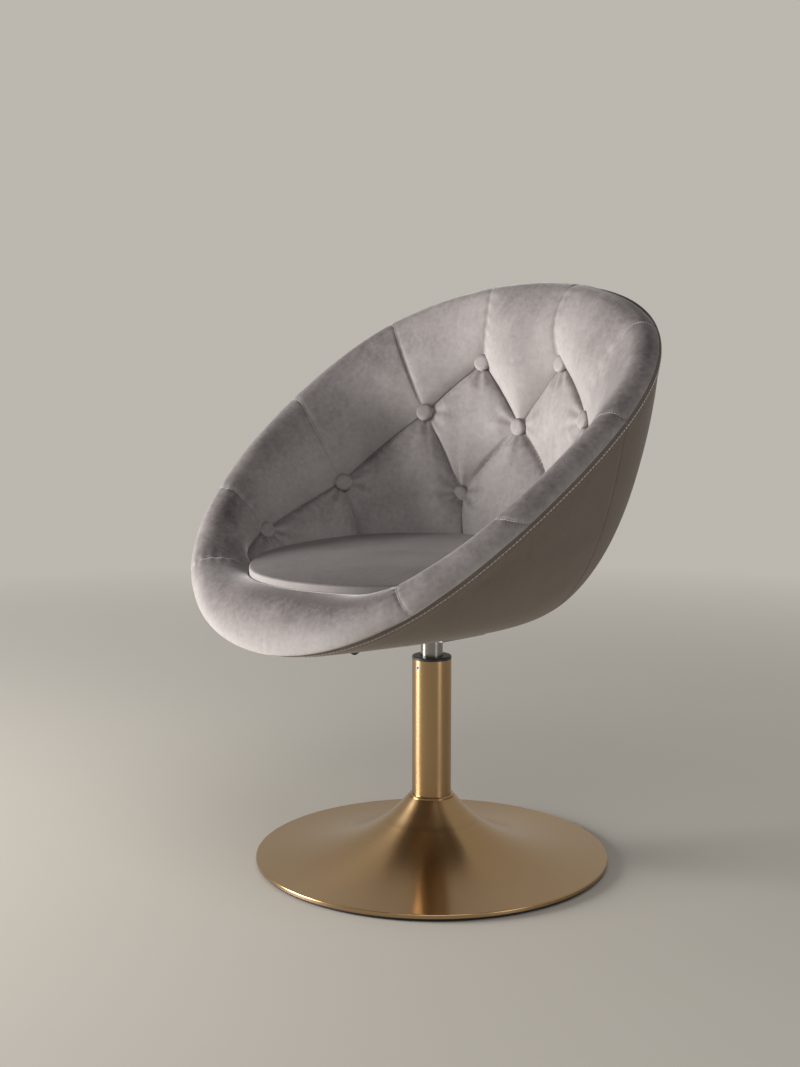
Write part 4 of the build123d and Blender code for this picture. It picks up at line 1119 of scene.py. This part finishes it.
class CHAIR_OT_hardware(bpy.types.Operator):
    """Give the foot, the column, the gas lift and the inner pieces their finishes"""

    bl_idname = "chair.hardware"
    bl_label = "Metal, plastic and inner pieces"

    def execute(self, context):
        colours = context.scene.chair_colours
        finishes = {
            "brass": brushed("brushed_brass", colours.brass, rough=0.20, grain=800.0),
            "bright_metal": brushed("bright_steel", colours.steel, rough=0.18, grain=900.0),
            **{slot: plain(*stock) for slot, stock in STOCK.items()},
        }
        for entry in frame["record"]["subparts"]:
            finish = finishes.get(entry["material_slot"])
            if finish:
                paint(NODES[entry["node"]], finish)
        return {"FINISHED"}


class CHAIR_OT_stage(bpy.types.Operator):
    """Set the floor, the lamps, the background and the camera"""

    bl_idname = "chair.stage"
    bl_label = "Stage"
    FLOOR_HALF = 12.0
    FADE = (0.6, 2.6)  # distances where the floor starts to run out and where it is gone
    FADE_SPAN = 5.0  # distance that the whole fade ramp stands for
    FILL_COLOUR = (0.80, 0.79, 0.77, 1)
    FILL_STRENGTH = 0.27

    def execute(self, context):
        scene = context.scene
        colour = scene.chair_colours.floor
        self.floor(colour)
        self.world(scene, colour)
        for lamp in LAMPS:
            self.lamp(*lamp)
        self.camera(scene)
        scene.view_settings.view_transform = "Standard"
        return {"FINISHED"}

    def floor(self, colour):
        """Pale floor that runs out into the background's colour far from the chair."""
        bm = bmesh.new()
        bmesh.ops.create_grid(bm, x_segments=4, y_segments=4, size=self.FLOOR_HALF)
        piece = finished("floor", bm)
        finish = Finish("studio_floor", Roughness=0.6)
        cloud = finish.cloud(1.3, detail=4.0)
        finish.set("Base Color", finish.blend(cloud, shaded(colour, 0.94), colour))
        x, y, _ = finish.axes(finish.place())
        start, gone = (distance / self.FADE_SPAN for distance in self.FADE)
        far = finish.ramp(from_axis(x, y) * (1 / self.FADE_SPAN), start, gone)
        glow = finish.out("ShaderNodeEmission", {}, {"Color": (*colour, 1), "Strength": 1.0})
        lit = Value(finish, finish.shader.outputs[0])
        mixed = finish.out("ShaderNodeMixShader", {}, {0: far * finish.seen(), 1: lit, 2: glow})
        finish.feed(finish.tree.nodes["Material Output"], "Surface", mixed)
        paint(piece, finish.material)

    def world(self, scene, colour):
        """Soft grey light all round, and the background's own colour to the eye and in metal."""
        scene.world = bpy.data.worlds.new("studio")
        nodes = NodeSet(scene.world)
        nodes.tree.nodes.clear()
        fill = {"Color": self.FILL_COLOUR, "Strength": self.FILL_STRENGTH}
        light = nodes.out("ShaderNodeBackground", {}, fill)
        back = nodes.out("ShaderNodeBackground", {}, {"Color": (*colour, 1), "Strength": 1.0})
        mixed = nodes.out("ShaderNodeMixShader", {}, {0: nodes.seen(), 1: light, 2: back})
        nodes.add("ShaderNodeOutputWorld", {}, {"Surface": mixed})

    def lamp(self, name, place, aim, size, power, colour):
        """A round lamp turned towards its aim."""
        data = bpy.data.lights.new(name, "AREA")
        data.shape = "DISK"
        data.size = size
        data.energy = power
        data.color = colour
        lamp = bpy.data.objects.new(name, data)
        lamp.location = place
        lamp.rotation_euler = (Vector(aim) - Vector(place)).to_track_quat("-Z", "Y").to_euler()
        bpy.context.scene.collection.objects.link(lamp)

    def camera(self, scene):
        """Camera at the height, distance and slope that the photograph's lines give."""
        azimuth, pitch, pan = radians(45.203), radians(7.2226), radians(-1.2187)
        distance, height = 1.8983, 0.6608
        # Focal length and picture height, both in the photograph's pixels.
        focal, tall = 1523.62, 1067.0
        data = bpy.data.cameras.new("camera")
        data.sensor_width = 36.0
        data.lens = focal / tall * data.sensor_width
        camera = bpy.data.objects.new("camera", data)
        camera.location = (distance * sin(azimuth), -distance * cos(azimuth), height)
        camera.rotation_euler = (pi / 2 - pitch, 0, azimuth - pan)
        scene.collection.objects.link(camera)
        scene.camera = camera


class CHAIR_PT_sidebar(bpy.types.Panel):
    """The chair's sizes, colours and making steps"""

    bl_idname = "CHAIR_PT_sidebar"
    bl_label = "Tufted swivel chair"
    bl_space_type = "VIEW_3D"
    bl_region_type = "UI"
    bl_category = "Chair"

    def draw(self, context):
        for group in (
            context.scene.chair_bucket, context.scene.chair_upholstery, context.scene.chair_colours
        ):
            box = self.layout.box()
            for key in group.__annotations__:
                box.prop(group, key)
        for step in STEPS:
            self.layout.operator(step.bl_idname)


STEPS = (
    CHAIR_OT_stage,
    CHAIR_OT_upholstery,
    CHAIR_OT_buttons,
    CHAIR_OT_cushion,
    CHAIR_OT_cover,
    CHAIR_OT_stitching,
    CHAIR_OT_hardware,
)
CLASSES = (BucketSizes, UpholsterySizes, ChairColours, *STEPS, CHAIR_PT_sidebar)


def register():
    for each in CLASSES:
        bpy.utils.register_class(each)
    bpy.types.Scene.chair_bucket = bpy.props.PointerProperty(type=BucketSizes)
    bpy.types.Scene.chair_upholstery = bpy.props.PointerProperty(type=UpholsterySizes)
    bpy.types.Scene.chair_colours = bpy.props.PointerProperty(type=ChairColours)


def unregister():
    del bpy.types.Scene.chair_bucket
    del bpy.types.Scene.chair_upholstery
    del bpy.types.Scene.chair_colours
    for each in reversed(CLASSES):
        bpy.utils.unregister_class(each)


def main():
    """Take every step in order."""
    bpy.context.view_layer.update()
    register()
    for step in STEPS:
        group, name = step.bl_idname.split(".")
        getattr(getattr(bpy.ops, group), name)()


if __name__ == "__main__":
    main()
